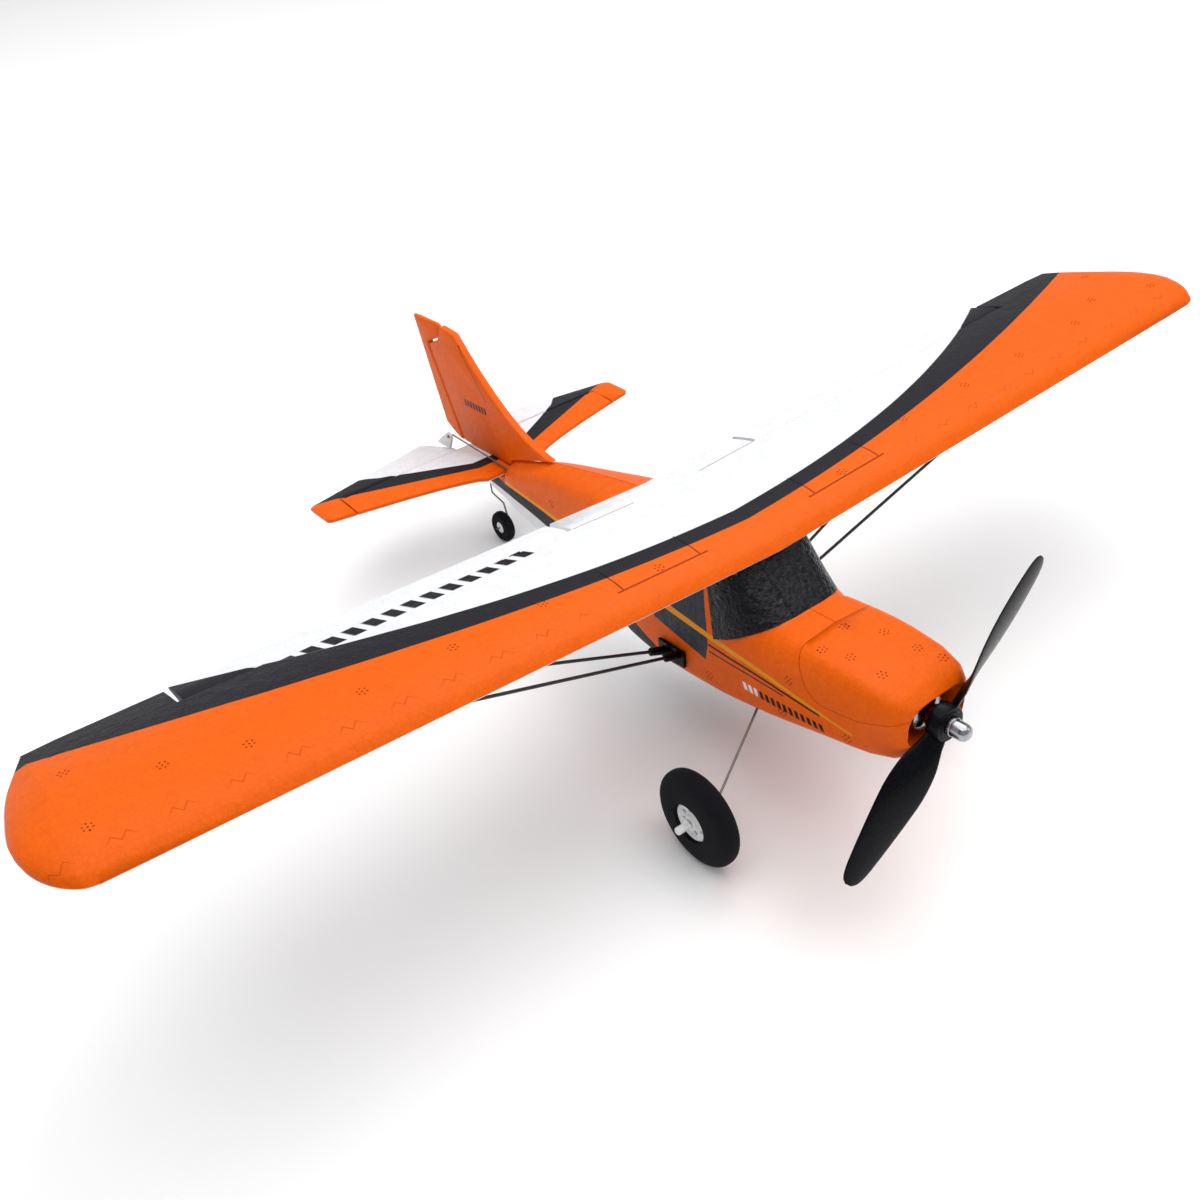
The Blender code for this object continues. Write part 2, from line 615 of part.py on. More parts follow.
def make_elevator(airframe, side, name):
    """Outboard of the seam the surface runs on forward to the leading edge as a balance."""
    inner, seam_in, seam_out, tip = ELEVATOR_X
    nose = ELEVATOR_HINGE_Y - TAIL_HALF_T
    full = ELEVATOR_HINGE_Y + 0.8
    spans = [(inner, nose, TAIL_HALF_T, 356.5), (18.5, nose, TAIL_HALF_T, 369.5)]
    spans += [(x, nose, TAIL_HALF_T, tail_trail(x)) for x in (22.0, 45.0, seam_in)]
    spans += [(seam_out, tail_lead(seam_out), 1.6, tail_trail(seam_out)),
              (tip - 2, tail_lead(tip - 2), 1.5, tail_trail(tip - 2)),
              (tip, tail_lead(tip) + 1.5, 1.0, tail_trail(tip) - 1)]
    rings = []
    for x, front, front_r, tail in spans:
        depth = TAIL_HALF_T if x < tip else 1.7
        outline = rib(front, front_r, full, depth * 0.98, tail, 0.6)
        rings.append([(x, y, TAILPLANE_Z + z) for y, z in outline])
    pivot = (side * 50.0, ELEVATOR_HINGE_Y, TAILPLANE_Z)
    elevator = place("elevator_" + name, sided(loft(rings), side), WHITE, airframe, pivot)
    bore = cylinder((inner - 3, ELEVATOR_HINGE_Y, TAILPLANE_Z),
                    (16.0, ELEVATOR_HINGE_Y, TAILPLANE_Z), 1.35, 12)
    combine(elevator, name + "_joiner_bore", sided(bore, side))


def rudder_hinge_y(z):
    return RUDDER_FOOT[0] + (z - RUDDER_FOOT[1]) * RUDDER_RAKE


def make_fin_and_rudder(airframe):
    cove = RUDDER_NOSE_R + 0.5
    top_z, foot_z = 66.9, TAILPLANE_Z + TAIL_HALF_T + 0.4
    outline = [(262.0, 27.5), (268.0, 28.4), (275.0, 30.0), (283.0, 32.6), (292.0, 36.4), (303.0, 42.6),
               (315.0, 51.2), (328.0, 62.0), (336.5, 70.4), (344.5, 79.0), (358.6, 80.4), (362.7, 71.6),
               (rudder_hinge_y(top_z) - cove, top_z), (rudder_hinge_y(foot_z) - cove, foot_z),
               (304.2, foot_z), (304.2, 14.6), (294.0, 18.0), (285.0, 21.0), (273.0, 24.7)]
    fin = place("fin", prism(outline, -2.3, 2.3), ORANGE, airframe)
    round_edges(fin, 0.9, 2, 50)
    # Height, nose, nose radius, full-depth point aft of the hinge, tail
    heights = []
    for z, tail in ((12.0, 364.4), (17.3, 373.6), (45.0, 380.2), (67.8, 385.6)):
        heights.append((z, rudder_hinge_y(z) - RUDDER_NOSE_R, RUDDER_NOSE_R, tail))
    heights += [(72.4, 363.6, 1.5, 386.7), (79.6, 360.4, 1.4, 388.6), (80.9, 361.6, 0.8, 387.9)]
    rings = []
    for z, nose, nose_r, tail in heights:
        depth = RUDDER_NOSE_R * (0.5 if z > 80 else 0.98)
        outline = rib(nose, nose_r, rudder_hinge_y(z) + 0.8, depth, tail, 0.6)
        rings.append([(x, y, z) for y, x in outline])
    pivot = (0, rudder_hinge_y(40.0), 40.0)
    place("rudder", loft(rings), ORANGE, airframe, pivot)
    hole_y = rudder_hinge_y(RUDDER_HORN_Z)
    outline = [(2.6, hole_y + 1.5), (2.6, hole_y + 11.0), (5.0, hole_y + 8.0), (12.6, hole_y + 2.0),
               (13.3, hole_y), (12.6, hole_y - 2.0), (10.6, hole_y - 2.4), (8.8, hole_y - 1.2)]
    horn = loft([[(x, y, RUDDER_HORN_Z + dz) for x, y in outline] for dz in (-ARM_T / 2, ARM_T / 2)])
    horn_obj = place("rudder_horn", horn, WHITE_PLASTIC, airframe, pivot)
    hole = cylinder((RUDDER_LEVER, hole_y, RUDDER_HORN_Z - 4),
                    (RUDDER_LEVER, hole_y, RUDDER_HORN_Z + 4), LINK_HOLE_R)
    combine(horn_obj, "rudder_horn_hole", hole)


def make_tail_servos(airframe):
    tray = box(-20.5, 20.5, 118.0, 160.0, -6.6, -4.6)
    place("servo_tray", tray, PLY, airframe)
    for side, name in ((-1, "elevator"), (1, "rudder")):
        case = box(side * SERVO_X - 4.2, side * SERVO_X + 4.2, 133.0, 153.0, -4.2, SERVO_TOP)
        servo = place(name + "_servo", case, SERVO_BLUE, airframe)
        round_edges(servo, 0.6, 1)
        tip = (side * (SERVO_X - SERVO_ARM), SERVO_Y)
        outline = stadium((side * SERVO_X, SERVO_Y), tip, ARM_R)
        arm = loft([[(x, y, SERVO_TOP + dz) for x, y in outline] for dz in (0.5, 0.5 + ARM_T)])
        pivot = (side * SERVO_X, SERVO_Y, SERVO_TOP + 1.3)
        arm_obj = place(name + "_servo_arm", arm, WHITE_PLASTIC, airframe, pivot)
        hole = cylinder((*tip, SERVO_TOP - 3), (*tip, SERVO_TOP + 6), LINK_HOLE_R)
        combine(arm_obj, name + "_arm_hole", hole)
        start = [(tip[0], tip[1], SERVO_TOP - 0.6), (tip[0], tip[1], SERVO_TOP + 3.6)]
        run = [(side * 3.3, 292.0, 7.6), (side * 6.4, 318.0, 13.0)]
        if side < 0:
            hole_z = TAILPLANE_Z + ELEVATOR_LEVER
            end = [(-ELEVATOR_HORN_X + 2.1, ELEVATOR_HINGE_Y, hole_z),
                   (-ELEVATOR_HORN_X - 1.7, ELEVATOR_HINGE_Y, hole_z)]
        else:
            hole_y = rudder_hinge_y(RUDDER_HORN_Z)
            end = [(RUDDER_LEVER, hole_y, RUDDER_HORN_Z - 3.8), (RUDDER_LEVER, hole_y, RUDDER_HORN_Z + 3.6)]
        place(name + "_pushrod", rod(start + run + end, LINK_WIRE_R, 8), STEEL, airframe)


# Undercarriage


def make_undercarriage(airframe):
    x, y0, y1, z0, z1 = GEAR_BLOCK
    wire_y, wire_z = (y0 + y1) / 2, (z0 + z1) / 2
    block = place("gear_block", box(-x, x, y0, y1, z0, z1), WHITE_PLASTIC, airframe)
    combine(block, "gear_wire_bore", cylinder((-x - 5, wire_y, wire_z), (x + 5, wire_y, wire_z), 0.95, 12))
    half = [(x + 1.6, wire_y, wire_z), (AXLE_BEND_X, MAIN_WHEEL_Y, MAIN_WHEEL_Z),
            (81.0, MAIN_WHEEL_Y, MAIN_WHEEL_Z)]
    path = [(-px, py, pz) for px, py, pz in reversed(half)] + half
    place("gear_wire", rod(path, GEAR_WIRE_R, 10), STEEL, airframe)
    for side, name in ((-1, "right"), (1, "left")):
        make_main_wheel(airframe, side, name)
    make_tail_wheel(airframe)


def make_main_wheel(airframe, side, name):
    axle = (0, MAIN_WHEEL_Y, MAIN_WHEEL_Z)
    x0, x1 = TYRE_X
    r = MAIN_WHEEL_R
    tread = [(TYRE_BORE_R, x0 + 0.6), (r - 4.5, x0), (r - 2.2, x0 + 0.9), (r - 0.7, x0 + 3.0), (r, x0 + 6.0),
             (r, x1 - 6.0), (r - 0.7, x1 - 3.0), (r - 2.2, x1 - 0.9), (r - 4.5, x1), (TYRE_BORE_R, x1 - 0.6)]
    middle = (side * (x0 + x1) / 2, MAIN_WHEEL_Y, MAIN_WHEEL_Z)
    tyre = turned(tread, axle, (1, 0, 0), 32, closed=True)
    place("tyre_" + name, sided(tyre, side), BLACK_FOAM, airframe, middle)
    disc = [(HUB_BORE_R, x0 + 1.2), (2.6, x0 + 1.2), (2.8, x0 + 3.0), (HUB_R, x0 + 3.4), (HUB_R, x1 - 1.8),
            (8.0, x1 - 1.6), (7.8, x1 - 2.4), (4.0, x1 - 2.4), (3.6, x1 - 0.6), (HUB_BORE_R, x1 - 0.6)]
    hub = turned(disc, axle, (1, 0, 0), 28, closed=True)
    hub_obj = place("hub_" + name, sided(hub, side), WHITE_PLASTIC, airframe, middle)
    holes = bmesh.new()
    for k in range(8):
        turn = 2 * math.pi * (k + 0.5) / 8
        y, z = MAIN_WHEEL_Y + 5.9 * math.cos(turn), MAIN_WHEEL_Z + 5.9 * math.sin(turn)
        peg = cylinder((x0, y, z), (x1 + 2, y, z), 1.15, 8)
        mesh = bpy.data.meshes.new("peg")
        peg.to_mesh(mesh)
        peg.free()
        holes.from_mesh(mesh)
        bpy.data.meshes.remove(mesh)
    combine(hub_obj, name + "_hub_holes", sided(holes, side))
    profile = [(0, x1 + 6.35), (0.95, x1 + 6.35), (0.95, x1 + 0.2), (1.9, x1 + 0.2), (1.9, x1 + 6.2),
               (1.5, x1 + 6.8), (0, x1 + 6.8)]
    cap = turned(profile, axle, (1, 0, 0), 14)
    place("axle_cap_" + name, sided(cap, side), WHITE_PLASTIC, airframe)


def make_tail_wheel(airframe):
    axle = (0, TAIL_WHEEL_Y, TAIL_WHEEL_Z)
    r = TAIL_WHEEL_R
    tread = [(3.8, -2.6), (r - 1.6, -3.0), (r - 0.4, -1.8), (r, 0), (r - 0.4, 1.8), (r - 1.6, 3.0),
             (3.8, 2.6)]
    place("tail_tyre", turned(tread, axle, (1, 0, 0), 24, closed=True), BLACK_FOAM, airframe, axle)
    disc = [(0.85, -3.0), (3.4, -2.4), (3.4, 2.4), (0.85, 3.0)]
    place("tail_hub", turned(disc, axle, (1, 0, 0), 16, closed=True), WHITE_PLASTIC, airframe, axle)
    leg = [(0, 336, -1.6), (0, 336, -18), (4.6, 333, -26), (4.6, TAIL_WHEEL_Y, TAIL_WHEEL_Z),
           (-4.6, TAIL_WHEEL_Y, TAIL_WHEEL_Z)]
    place("tailwheel_leg", rod(leg, 0.5, 10), STEEL, airframe)


# Power


def make_motor(airframe):
    mount = place("motor_mount", box(-12.0, 12.0, 26.6, 29.2, -7.8, 7.8), BLACK_PLASTIC, airframe)
    round_edges(mount, 1.0, 1)
    stator = [(0, 26.2), (7.4, 26.2), (7.4, 21.8), (0, 21.8)]
    place("motor_stator", turned(stator, (0, 0, 0), (0, 1, 0), 20), ALUMINIUM, airframe)
    bell = [(0, 6.6), (4.6, 6.6), (MOTOR_R - 1.0, 7.8), (MOTOR_R, 9.4), (MOTOR_R, 21.4), (0, 21.4)]
    place("motor_bell", turned(bell, (0, 0, 0), (0, 1, 0), 28), RED_METAL, airframe)
    adapter = [(0, 6.2), (5.0, 6.2), (5.0, 3.9), (SHAFT_R, 3.9), (SHAFT_R, -8.0), (0, -8.0)]
    place("prop_adapter", turned(adapter, (0, 0, 0), (0, 1, 0), 24), RED_METAL, airframe)
    nut = [(0, -8.4), (SHAFT_BORE_R, -8.4), (SHAFT_BORE_R, -3.9), (4.2, -3.9), (4.2, -8.8), (3.7, -11.0),
           (2.2, -12.4), (0, -12.6)]
    place("prop_nut", turned(nut, (0, 0, 0), (0, 1, 0), 24), ALUMINIUM, airframe)


def blade_rings():
    """Twisted blade from root to tip along +z, turning towards the aircraft's right over the top."""
    rings = []
    shares = (0.07, 0.16, 0.28, 0.42, 0.56, 0.7, 0.83, 0.92, 0.975, 1.0)
    chords = (0.36, 0.52, 0.82, 1.0, 0.99, 0.9, 0.77, 0.64, 0.46, 0.2)
    for share, width in zip(shares, chords):
        reach = share * PROP_R
        chord = PROP_CHORD * width
        thick = 2.6 - 1.9 * share
        twist = math.atan2(PROP_PITCH, 2 * math.pi * max(reach, 14.0))
        ring = []
        for k in range(12):
            turn = 2 * math.pi * k / 12
            along = chord * 0.5 * math.cos(turn)
            across = thick * 0.5 * math.sin(turn) + 0.03 * chord * (1 - math.cos(turn) ** 2)
            ring.append((along * math.cos(twist) + across * math.sin(twist),
                         along * math.sin(twist) - across * math.cos(twist), reach))
        rings.append(ring)
    return rings


def make_propeller(airframe):
    rim = PROP_HUB_R
    hub = turned([(0, -3.5), (rim - 0.6, -3.5), (rim, -2.9), (rim, 2.9), (rim - 0.6, 3.5), (0, 3.5)],
                 (0, 0, 0), (0, 1, 0), 24)
    propeller = place("propeller", hub, BLACK_PLASTIC, airframe)
    for name, turn in (("upper", PROP_REST), ("lower", PROP_REST + math.pi)):
        blade = loft(blade_rings())
        bmesh.ops.rotate(blade, verts=blade.verts, cent=(0, 0, 0), matrix=Matrix.Rotation(turn, 3, "Y"))
        combine(propeller, name + "_blade", blade, "UNION")
    combine(propeller, "prop_bore", cylinder((0, -6, 0), (0, 6, 0), SHAFT_BORE_R, 20))


def make_equipment(airframe):
    battery = place("battery", box(-11.0, 11.0, 36.0, 82.0, -14.4, -2.4), SERVO_BLUE, airframe)
    round_edges(battery, 2.0, 2)
    place("control_board", box(-12.0, 12.0, 86.0, 114.0, -16.0, -10.0), BOARD_GREEN, airframe)


def main():
    clear_scene()
    airframe = make_airframe()
    make_fuselage(airframe)
    make_windshield(airframe)
    make_wing(airframe)
    make_struts(airframe)
    make_tailplane(airframe)
    make_fin_and_rudder(airframe)
    make_tail_servos(airframe)
    make_undercarriage(airframe)
    make_motor(airframe)
    make_propeller(airframe)
    make_equipment(airframe)


main()
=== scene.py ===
"""Finish of a high-wing foam trainer: sprayed bead foam with its painted bands, a black film
windshield, nylon, wire, carbon and turned metal, standing on a pale studio floor."""

import json
import math

import bpy
from mathutils import Matrix, Vector

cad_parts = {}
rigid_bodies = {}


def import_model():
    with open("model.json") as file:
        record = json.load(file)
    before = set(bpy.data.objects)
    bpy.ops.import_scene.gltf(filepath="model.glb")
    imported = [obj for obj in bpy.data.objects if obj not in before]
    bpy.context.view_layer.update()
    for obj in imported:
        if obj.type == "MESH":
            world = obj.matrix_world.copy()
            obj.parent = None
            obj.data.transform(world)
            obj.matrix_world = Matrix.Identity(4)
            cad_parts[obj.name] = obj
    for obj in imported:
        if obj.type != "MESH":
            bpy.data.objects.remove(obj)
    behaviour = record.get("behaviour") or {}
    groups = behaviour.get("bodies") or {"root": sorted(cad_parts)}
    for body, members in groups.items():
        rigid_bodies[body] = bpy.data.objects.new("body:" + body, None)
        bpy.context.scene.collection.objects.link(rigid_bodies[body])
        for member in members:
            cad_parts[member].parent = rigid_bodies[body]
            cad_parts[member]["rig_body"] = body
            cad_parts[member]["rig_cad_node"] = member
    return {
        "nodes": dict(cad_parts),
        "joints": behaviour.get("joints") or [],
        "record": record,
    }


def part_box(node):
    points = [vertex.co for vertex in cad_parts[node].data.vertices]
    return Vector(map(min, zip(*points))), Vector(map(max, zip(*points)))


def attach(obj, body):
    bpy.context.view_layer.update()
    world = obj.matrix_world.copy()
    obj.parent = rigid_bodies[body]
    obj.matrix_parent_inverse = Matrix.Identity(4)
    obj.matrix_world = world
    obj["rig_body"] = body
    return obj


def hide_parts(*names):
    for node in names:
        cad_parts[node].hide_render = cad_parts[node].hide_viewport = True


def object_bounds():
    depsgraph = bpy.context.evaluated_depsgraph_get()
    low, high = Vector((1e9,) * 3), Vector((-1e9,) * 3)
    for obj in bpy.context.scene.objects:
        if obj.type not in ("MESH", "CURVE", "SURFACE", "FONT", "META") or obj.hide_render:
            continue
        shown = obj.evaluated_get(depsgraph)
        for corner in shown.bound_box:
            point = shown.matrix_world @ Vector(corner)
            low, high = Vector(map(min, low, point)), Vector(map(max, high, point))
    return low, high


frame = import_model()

CAD_LOW, CAD_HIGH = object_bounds()
MM = 0.001

JOINTS = {joint["name"]: joint for joint in frame["joints"]}
SLOTS = {part["node"]: part["material_slot"] for part in frame["record"]["subparts"]}
BODY_OF = {node: body for body, nodes in frame["record"]["behaviour"]["bodies"].items() for node in nodes}

# The airframe's own axes: millimetres to its left, aft of the propeller disc and above the thrust line
NOSE = Vector(JOINTS["propeller_spin"]["pos_m"])
AFT = Vector(JOINTS["propeller_spin"]["axis"])
LEFT = Vector((1, 0, 0))
UP = LEFT.cross(AFT)
PITCH = math.asin(-AFT.z)

# The wing, in millimetres: its underside's height at the middle, its dihedral and half its span, where
# the curve of its tip starts, and one percent of its chord. The section's upper side is raised evenly,
# from nothing in front to TRAILING_EDGE behind, and a tip thinned to nothing would rise by TIP_LIFT
WING_SEAT, DIHEDRAL = 40.4, math.radians(2.66)
SPAN_HALF = CAD_HIGH.x / MM
TIP_FROM, CHORD_PERCENT, TRAILING_EDGE, TIP_LIFT = 298.0, 0.95, 1.15, 4.2

# Pressed bead foam, in millimetres: the width of a bead, of the skin's ripples and of its paint grain
BEAD, RIPPLE, PAINT_GRAIN = 2.6, 6.0, 0.7

# Two-blade propeller: tip radius, widest chord and pitch, thickness at the axis and its loss by the tip,
# camber as a share of chord, the radius inside which the twist stops growing, and where blade one rests
PROP_R, PROP_CHORD, PROP_PITCH = 75.9, 21.5, 76.0
PROP_THICK, PROP_TAPER, PROP_CAMBER, TWIST_FROM = 2.6, 1.9, 0.03, 14.0
PROP_REST = math.radians(47.4)
# The blade's chord at shares of its radius, each as a share of the widest
BLADE_SHARES = (0.05, 0.16, 0.28, 0.42, 0.56, 0.7, 0.83, 0.92, 0.975, 1.0)
BLADE_CHORDS = (0.36, 0.52, 0.82, 1.0, 0.99, 0.9, 0.77, 0.64, 0.46, 0.2)

# The tyre's bore radius, then the windshield film's thickness, the depth of its dip and how far that
# reaches from the middle, and its rows of faces
TYRE_BORE = 9.9
FILM, FILM_DIP, FLAT_HALF, FILM_ROWS = 0.4, 0.96, 24.0, 14

# A vent pip's radius at its base and top, its height, how far it is lifted and its rosette's radius
PIP_BASE, PIP_TOP, PIP_HEIGHT, PIP_LIFT, PIP_SPREAD = 0.5, 0.28, 0.24, 0.02, 1.9

# In metres: how close two corners are to be made one, and how far off a line to the skin starts
WELD, FAR_OFF = 0.000002, 0.08


def at(x, y, z):
    """A place given in the airframe's millimetres, in metres in the frame."""
    return NOSE + (LEFT * x + AFT * y + UP * z) * MM


# ---------------------------------------------------------------- finishes


def hue(code):
    """A hex colour as linear light."""
    parts = [int(code[i:i + 2], 16) / 255 for i in (1, 3, 5)]
    return (*[p / 12.92 if p <= 0.04045 else ((p + 0.055) / 1.055) ** 2.4 for p in parts], 1.0)


ORANGE, WHITE, CHARCOAL = hue("#E65E00"), hue("#E4E5E9"), hue("#201F25")
# The last colour here is painted shade, multiplied into grooves, seams and hinge lines where shade falls
YELLOW, BLACK, GROOVE_PAINTED_SHADE = hue("#E59410"), hue("#121216"), hue("#5A3A2E")


def add(tree, kind, inputs=None, out=0, **settings):
    """Adds a node with its settings and inputs, each a constant or another node's output."""
    made = tree.nodes.new("ShaderNode" + kind)
    for name, value in settings.items():
        setattr(made, name, value)
    for key, value in (inputs or {}).items():
        if isinstance(value, bpy.types.NodeSocket):
            tree.links.new(value, made.inputs[key])
        else:
            made.inputs[key].default_value = value
    return made.outputs[out]


def new_finish(name, constants):
    """A new material with its shader's constants, as the material, its tree and its shader."""
    mat = bpy.data.materials.new(name)
    mat.use_nodes = True
    shader = mat.node_tree.nodes["Principled BSDF"]
    for key, value in constants.items():
        shader.inputs[key].default_value = value
    return mat, mat.node_tree, shader


def datum_place(tree):
    """The surface point in the airframe's millimetres, as a vector and as x, y, z."""
    origin = Matrix.Rotation(PITCH, 3, "X") @ -NOSE / MM
    place = add(tree, "Mapping", {"Vector": add(tree, "TexCoord", out="Object"), "Location": origin,
                                  "Rotation": (PITCH, 0, 0), "Scale": (1 / MM,) * 3})
    split = add(tree, "SeparateXYZ", {0: place}).node
    return place, split.outputs[0], split.outputs[1], split.outputs[2]


def above(tree, value, edge, soft=0.2):
    """1 where value is over the edge and 0 under it, turning over soft to each side of the edge."""
    over = add(tree, "Math", {0: value, 1: edge}, operation="SUBTRACT")
    return add(tree, "MapRange", {0: over, 1: -soft, 2: soft, 3: 0.0, 4: 1.0})


def both(tree, *masks):
    """1 only where every mask is 1."""
    result = masks[0]
    for mask in masks[1:]:
        result = add(tree, "Math", {0: result, 1: mask}, operation="MULTIPLY")
    return result


def near(tree, value, centre, half, soft=0.15):
    """1 within half of a centre line, 0 further off."""
    off = add(tree, "Math", {0: value, 1: centre}, operation="SUBTRACT")
    off = add(tree, "Math", {0: off}, operation="ABSOLUTE")
    return above(tree, half, off, soft)


def profile(tree, along, points):
    """An outline of straight runs through (along, height) points, as a height for each place along."""
    first, last = points[0][0], points[-1][0]
    low = min(height for _, height in points)
    high = max(height for _, height in points)
    share = add(tree, "MapRange", {0: along, 1: first, 2: last, 3: 0.0, 4: 1.0})
    grey = add(tree, "ValToRGB", {0: share})
    ramp = grey.node.color_ramp
    while len(ramp.elements) < len(points):
        ramp.elements.new(0.5)
    for element, (place, height) in zip(ramp.elements, points):
        element.position = (place - first) / (last - first)
        element.color = (*[(height - low) / (high - low)] * 3, 1.0)
    return add(tree, "MapRange", {0: grey, 1: 0.0, 2: 1.0, 3: low, 4: high})


def paint(tree, base, over, mask):
    """One colour sprayed over another where the mask is 1."""
    return add(tree, "Mix", {0: mask, 6: base, 7: over}, out=2, data_type="RGBA")


def bars(tree, along, across, start, pitch, count, low, high, lean=0.25, fill=0.62):
    """A row of plain slanted bars along a surface."""
    shifted = add(tree, "Math", {0: across, 1: -lean, 2: along}, operation="MULTIPLY_ADD")
    phase = add(tree, "Math", {0: shifted, 1: start}, operation="SUBTRACT")
    phase = add(tree, "Math", {0: phase, 1: pitch}, operation="DIVIDE")
    part = add(tree, "Math", {0: phase}, operation="FRACT")
    inside = both(tree, above(tree, phase, 0.0, 0.02), above(tree, float(count), phase, 0.02))
    rows = both(tree, above(tree, across, low), above(tree, high, across))
    return both(tree, inside, rows, above(tree, fill, part, 0.05))


def foam_body(tree, shader, place, colour, grooves=None):
    """Bead foam: beads pressed flat, a gently rippled skin and satin paint."""
    beads = add(tree, "TexVoronoi", {"Vector": place, "Scale": 1 / BEAD}, feature="DISTANCE_TO_EDGE")
    seams = add(tree, "MapRange", {0: beads, 1: 0.0, 2: 0.14, 3: 0.0, 4: 1.0})
    ripple = add(tree, "TexNoise", {"Vector": place, "Scale": 1 / RIPPLE, "Detail": 3.0, "Roughness": 0.6})
    grain = add(tree, "TexNoise", {"Vector": place, "Scale": 1 / PAINT_GRAIN, "Detail": 2.0})
    shade = add(tree, "MapRange", {0: ripple, 1: 0.3, 2: 0.7, 3: 0.9, 4: 1.04})
    tone = add(tree, "Mix", {0: 0.12, 6: shade, 7: seams}, out=2, data_type="RGBA", blend_type="MULTIPLY")
    toned = add(tree, "Mix", {0: 0.6, 6: colour, 7: tone}, out=2, data_type="RGBA", blend_type="MULTIPLY")
    rough = add(tree, "MapRange", {0: grain, 1: 0.3, 2: 0.7, 3: 0.4, 4: 0.56})
    height = add(tree, "Math", {0: seams, 1: 0.06, 2: ripple}, operation="MULTIPLY_ADD")
    height = add(tree, "Math", {0: grain, 1: 0.02, 2: height}, operation="MULTIPLY_ADD")
    if grooves is not None:
        # Grooves are bumped in and their colour is multiplied darker: painted shade in the groove
        depth = add(tree, "Math", {0: grooves, 1: 0.7}, operation="MULTIPLY")
        toned = add(tree, "Mix", {0: depth, 6: toned, 7: GROOVE_PAINTED_SHADE}, out=2, data_type="RGBA",
                    blend_type="MULTIPLY")
        height = add(tree, "Math", {0: grooves, 1: -0.6, 2: height}, operation="MULTIPLY_ADD")
    bump = add(tree, "Bump", {"Height": height, "Strength": 0.6, "Distance": 0.0008})
    tree.links.new(toned, shader.inputs["Base Color"])
    tree.links.new(rough, shader.inputs["Roughness"])
    tree.links.new(bump, shader.inputs["Normal"])


# Painted polyolefin foam: its specular level is set low, because at 0.5 white light washes it out
FOAM = {"IOR": 1.46, "Specular IOR Level": 0.14}


def wing_finish():
    """Sprayed expanded polyolefin: orange leading edge, charcoal sweep, white behind and below."""
    mat, tree, shader = new_finish("sprayed_foam_wing", FOAM)
    place, x, y, z = datum_place(tree)
    span = add(tree, "Math", {0: x}, operation="ABSOLUTE")
    share = add(tree, "Math", {0: span, 1: SPAN_HALF}, operation="DIVIDE")
    square = add(tree, "Math", {0: share, 1: 2.0}, operation="POWER")
    front = add(tree, "Math", {0: square, 1: 67.6, 2: 110.0}, operation="MULTIPLY_ADD")
    swept = add(tree, "Math", {0: share, 1: 2.3}, operation="POWER")
    rear = add(tree, "Math", {0: swept, 1: 124.0, 2: 119.5}, operation="MULTIPLY_ADD")
    colour = paint(tree, ORANGE, CHARCOAL, above(tree, y, front))
    colour = paint(tree, colour, WHITE, above(tree, y, rear))
    row = add(tree, "Math", {0: span, 1: 0.045, 2: y}, operation="MULTIPLY_ADD")
    trim = bars(tree, span, row, start=40.0, pitch=9.4, count=14, low=162.5, high=172.0)
    right = above(tree, 0.0, x)
    colour = paint(tree, colour, BLACK, both(tree, trim, right, above(tree, y, rear)))
    rise = add(tree, "Math", {0: span, 1: -math.tan(DIHEDRAL), 2: -WING_SEAT}, operation="MULTIPLY_ADD")
    local = add(tree, "Math", {0: z, 1: rise}, operation="ADD")
    lower = profile(tree, y, [(90, 2.9), (93, 1.9), (98, 0.75), (180, 0.6)])
    tip = add(tree, "MapRange", {0: span, 1: TIP_FROM, 2: SPAN_HALF, 3: 0.0, 4: 2.0})
    tip = add(tree, "Math", {0: tip, 1: 2.0}, operation="POWER")
    lower = add(tree, "Math", {0: lower, 1: tip}, operation="ADD")
    top = above(tree, local, lower, 0.1)
    colour = paint(tree, WHITE, colour, top)
    # The hinge, flap, panel and rib lines and the zigzag stitch are grooves, bumped in and darkened with
    # painted shade
    hinge = both(tree, near(tree, y, 166.6, 0.45), above(tree, span, 243.0), above(tree, 291.0, span))
    flap = both(tree, near(tree, y, 166.2, 0.35), above(tree, span, 20.0), above(tree, 55.0, span))
    panel = both(tree, near(tree, y, 103.0, 0.4), above(tree, span, 30.0), above(tree, 78.0, span))
    rib = both(tree, add(tree, "Math", {0: near(tree, span, 34.0, 0.4), 1: near(tree, span, 75.0, 0.4)},
                         operation="MAXIMUM"), above(tree, y, 103.0), above(tree, 121.0, y))
    zigzag = add(tree, "Math", {0: span, 1: 2.65}, operation="PINGPONG")
    ridge = add(tree, "Math", {0: zigzag, 1: 1.1, 2: 98.6}, operation="MULTIPLY_ADD")
    tick = add(tree, "Math", {0: span, 1: 10.6}, operation="PINGPONG")
    stitch = both(tree, near(tree, y, ridge, 0.25), above(tree, span, 96.0), above(tree, tick, 6.0, 2.0))
    stitch = add(tree, "Math", {0: stitch, 1: 0.45}, operation="MULTIPLY")
    grooves = hinge
    for line in (flap, panel, rib, stitch):
        grooves = add(tree, "Math", {0: grooves, 1: line}, operation="MAXIMUM")
    foam_body(tree, shader, place, colour, both(tree, grooves, top))
    return mat


def tail_finish():
    """The same foam on the tail: a thin orange leading band, a charcoal sweep and white."""
    mat, tree, shader = new_finish("sprayed_foam_tail", FOAM)
    place, x, y, z = datum_place(tree)
    span = add(tree, "Math", {0: x}, operation="ABSOLUTE")
    front = add(tree, "MapRange", {0: span, 1: 15.0, 2: 103.0, 3: 317.0, 4: 356.0})
    rear = profile(tree, span, [(15, 325), (45, 343), (60, 353), (68, 362), (74, 374), (104, 380)])
    colour = paint(tree, ORANGE, CHARCOAL, above(tree, y, front))
    colour = paint(tree, colour, WHITE, above(tree, y, rear))
    colour = paint(tree, WHITE, colour, above(tree, z, 8.2))
    # The seam is a groove, bumped in and darkened with painted shade
    seam = both(tree, near(tree, span, 88.0, 0.3), above(tree, 349.0, y))
    foam_body(tree, shader, place, colour, seam)
    return mat


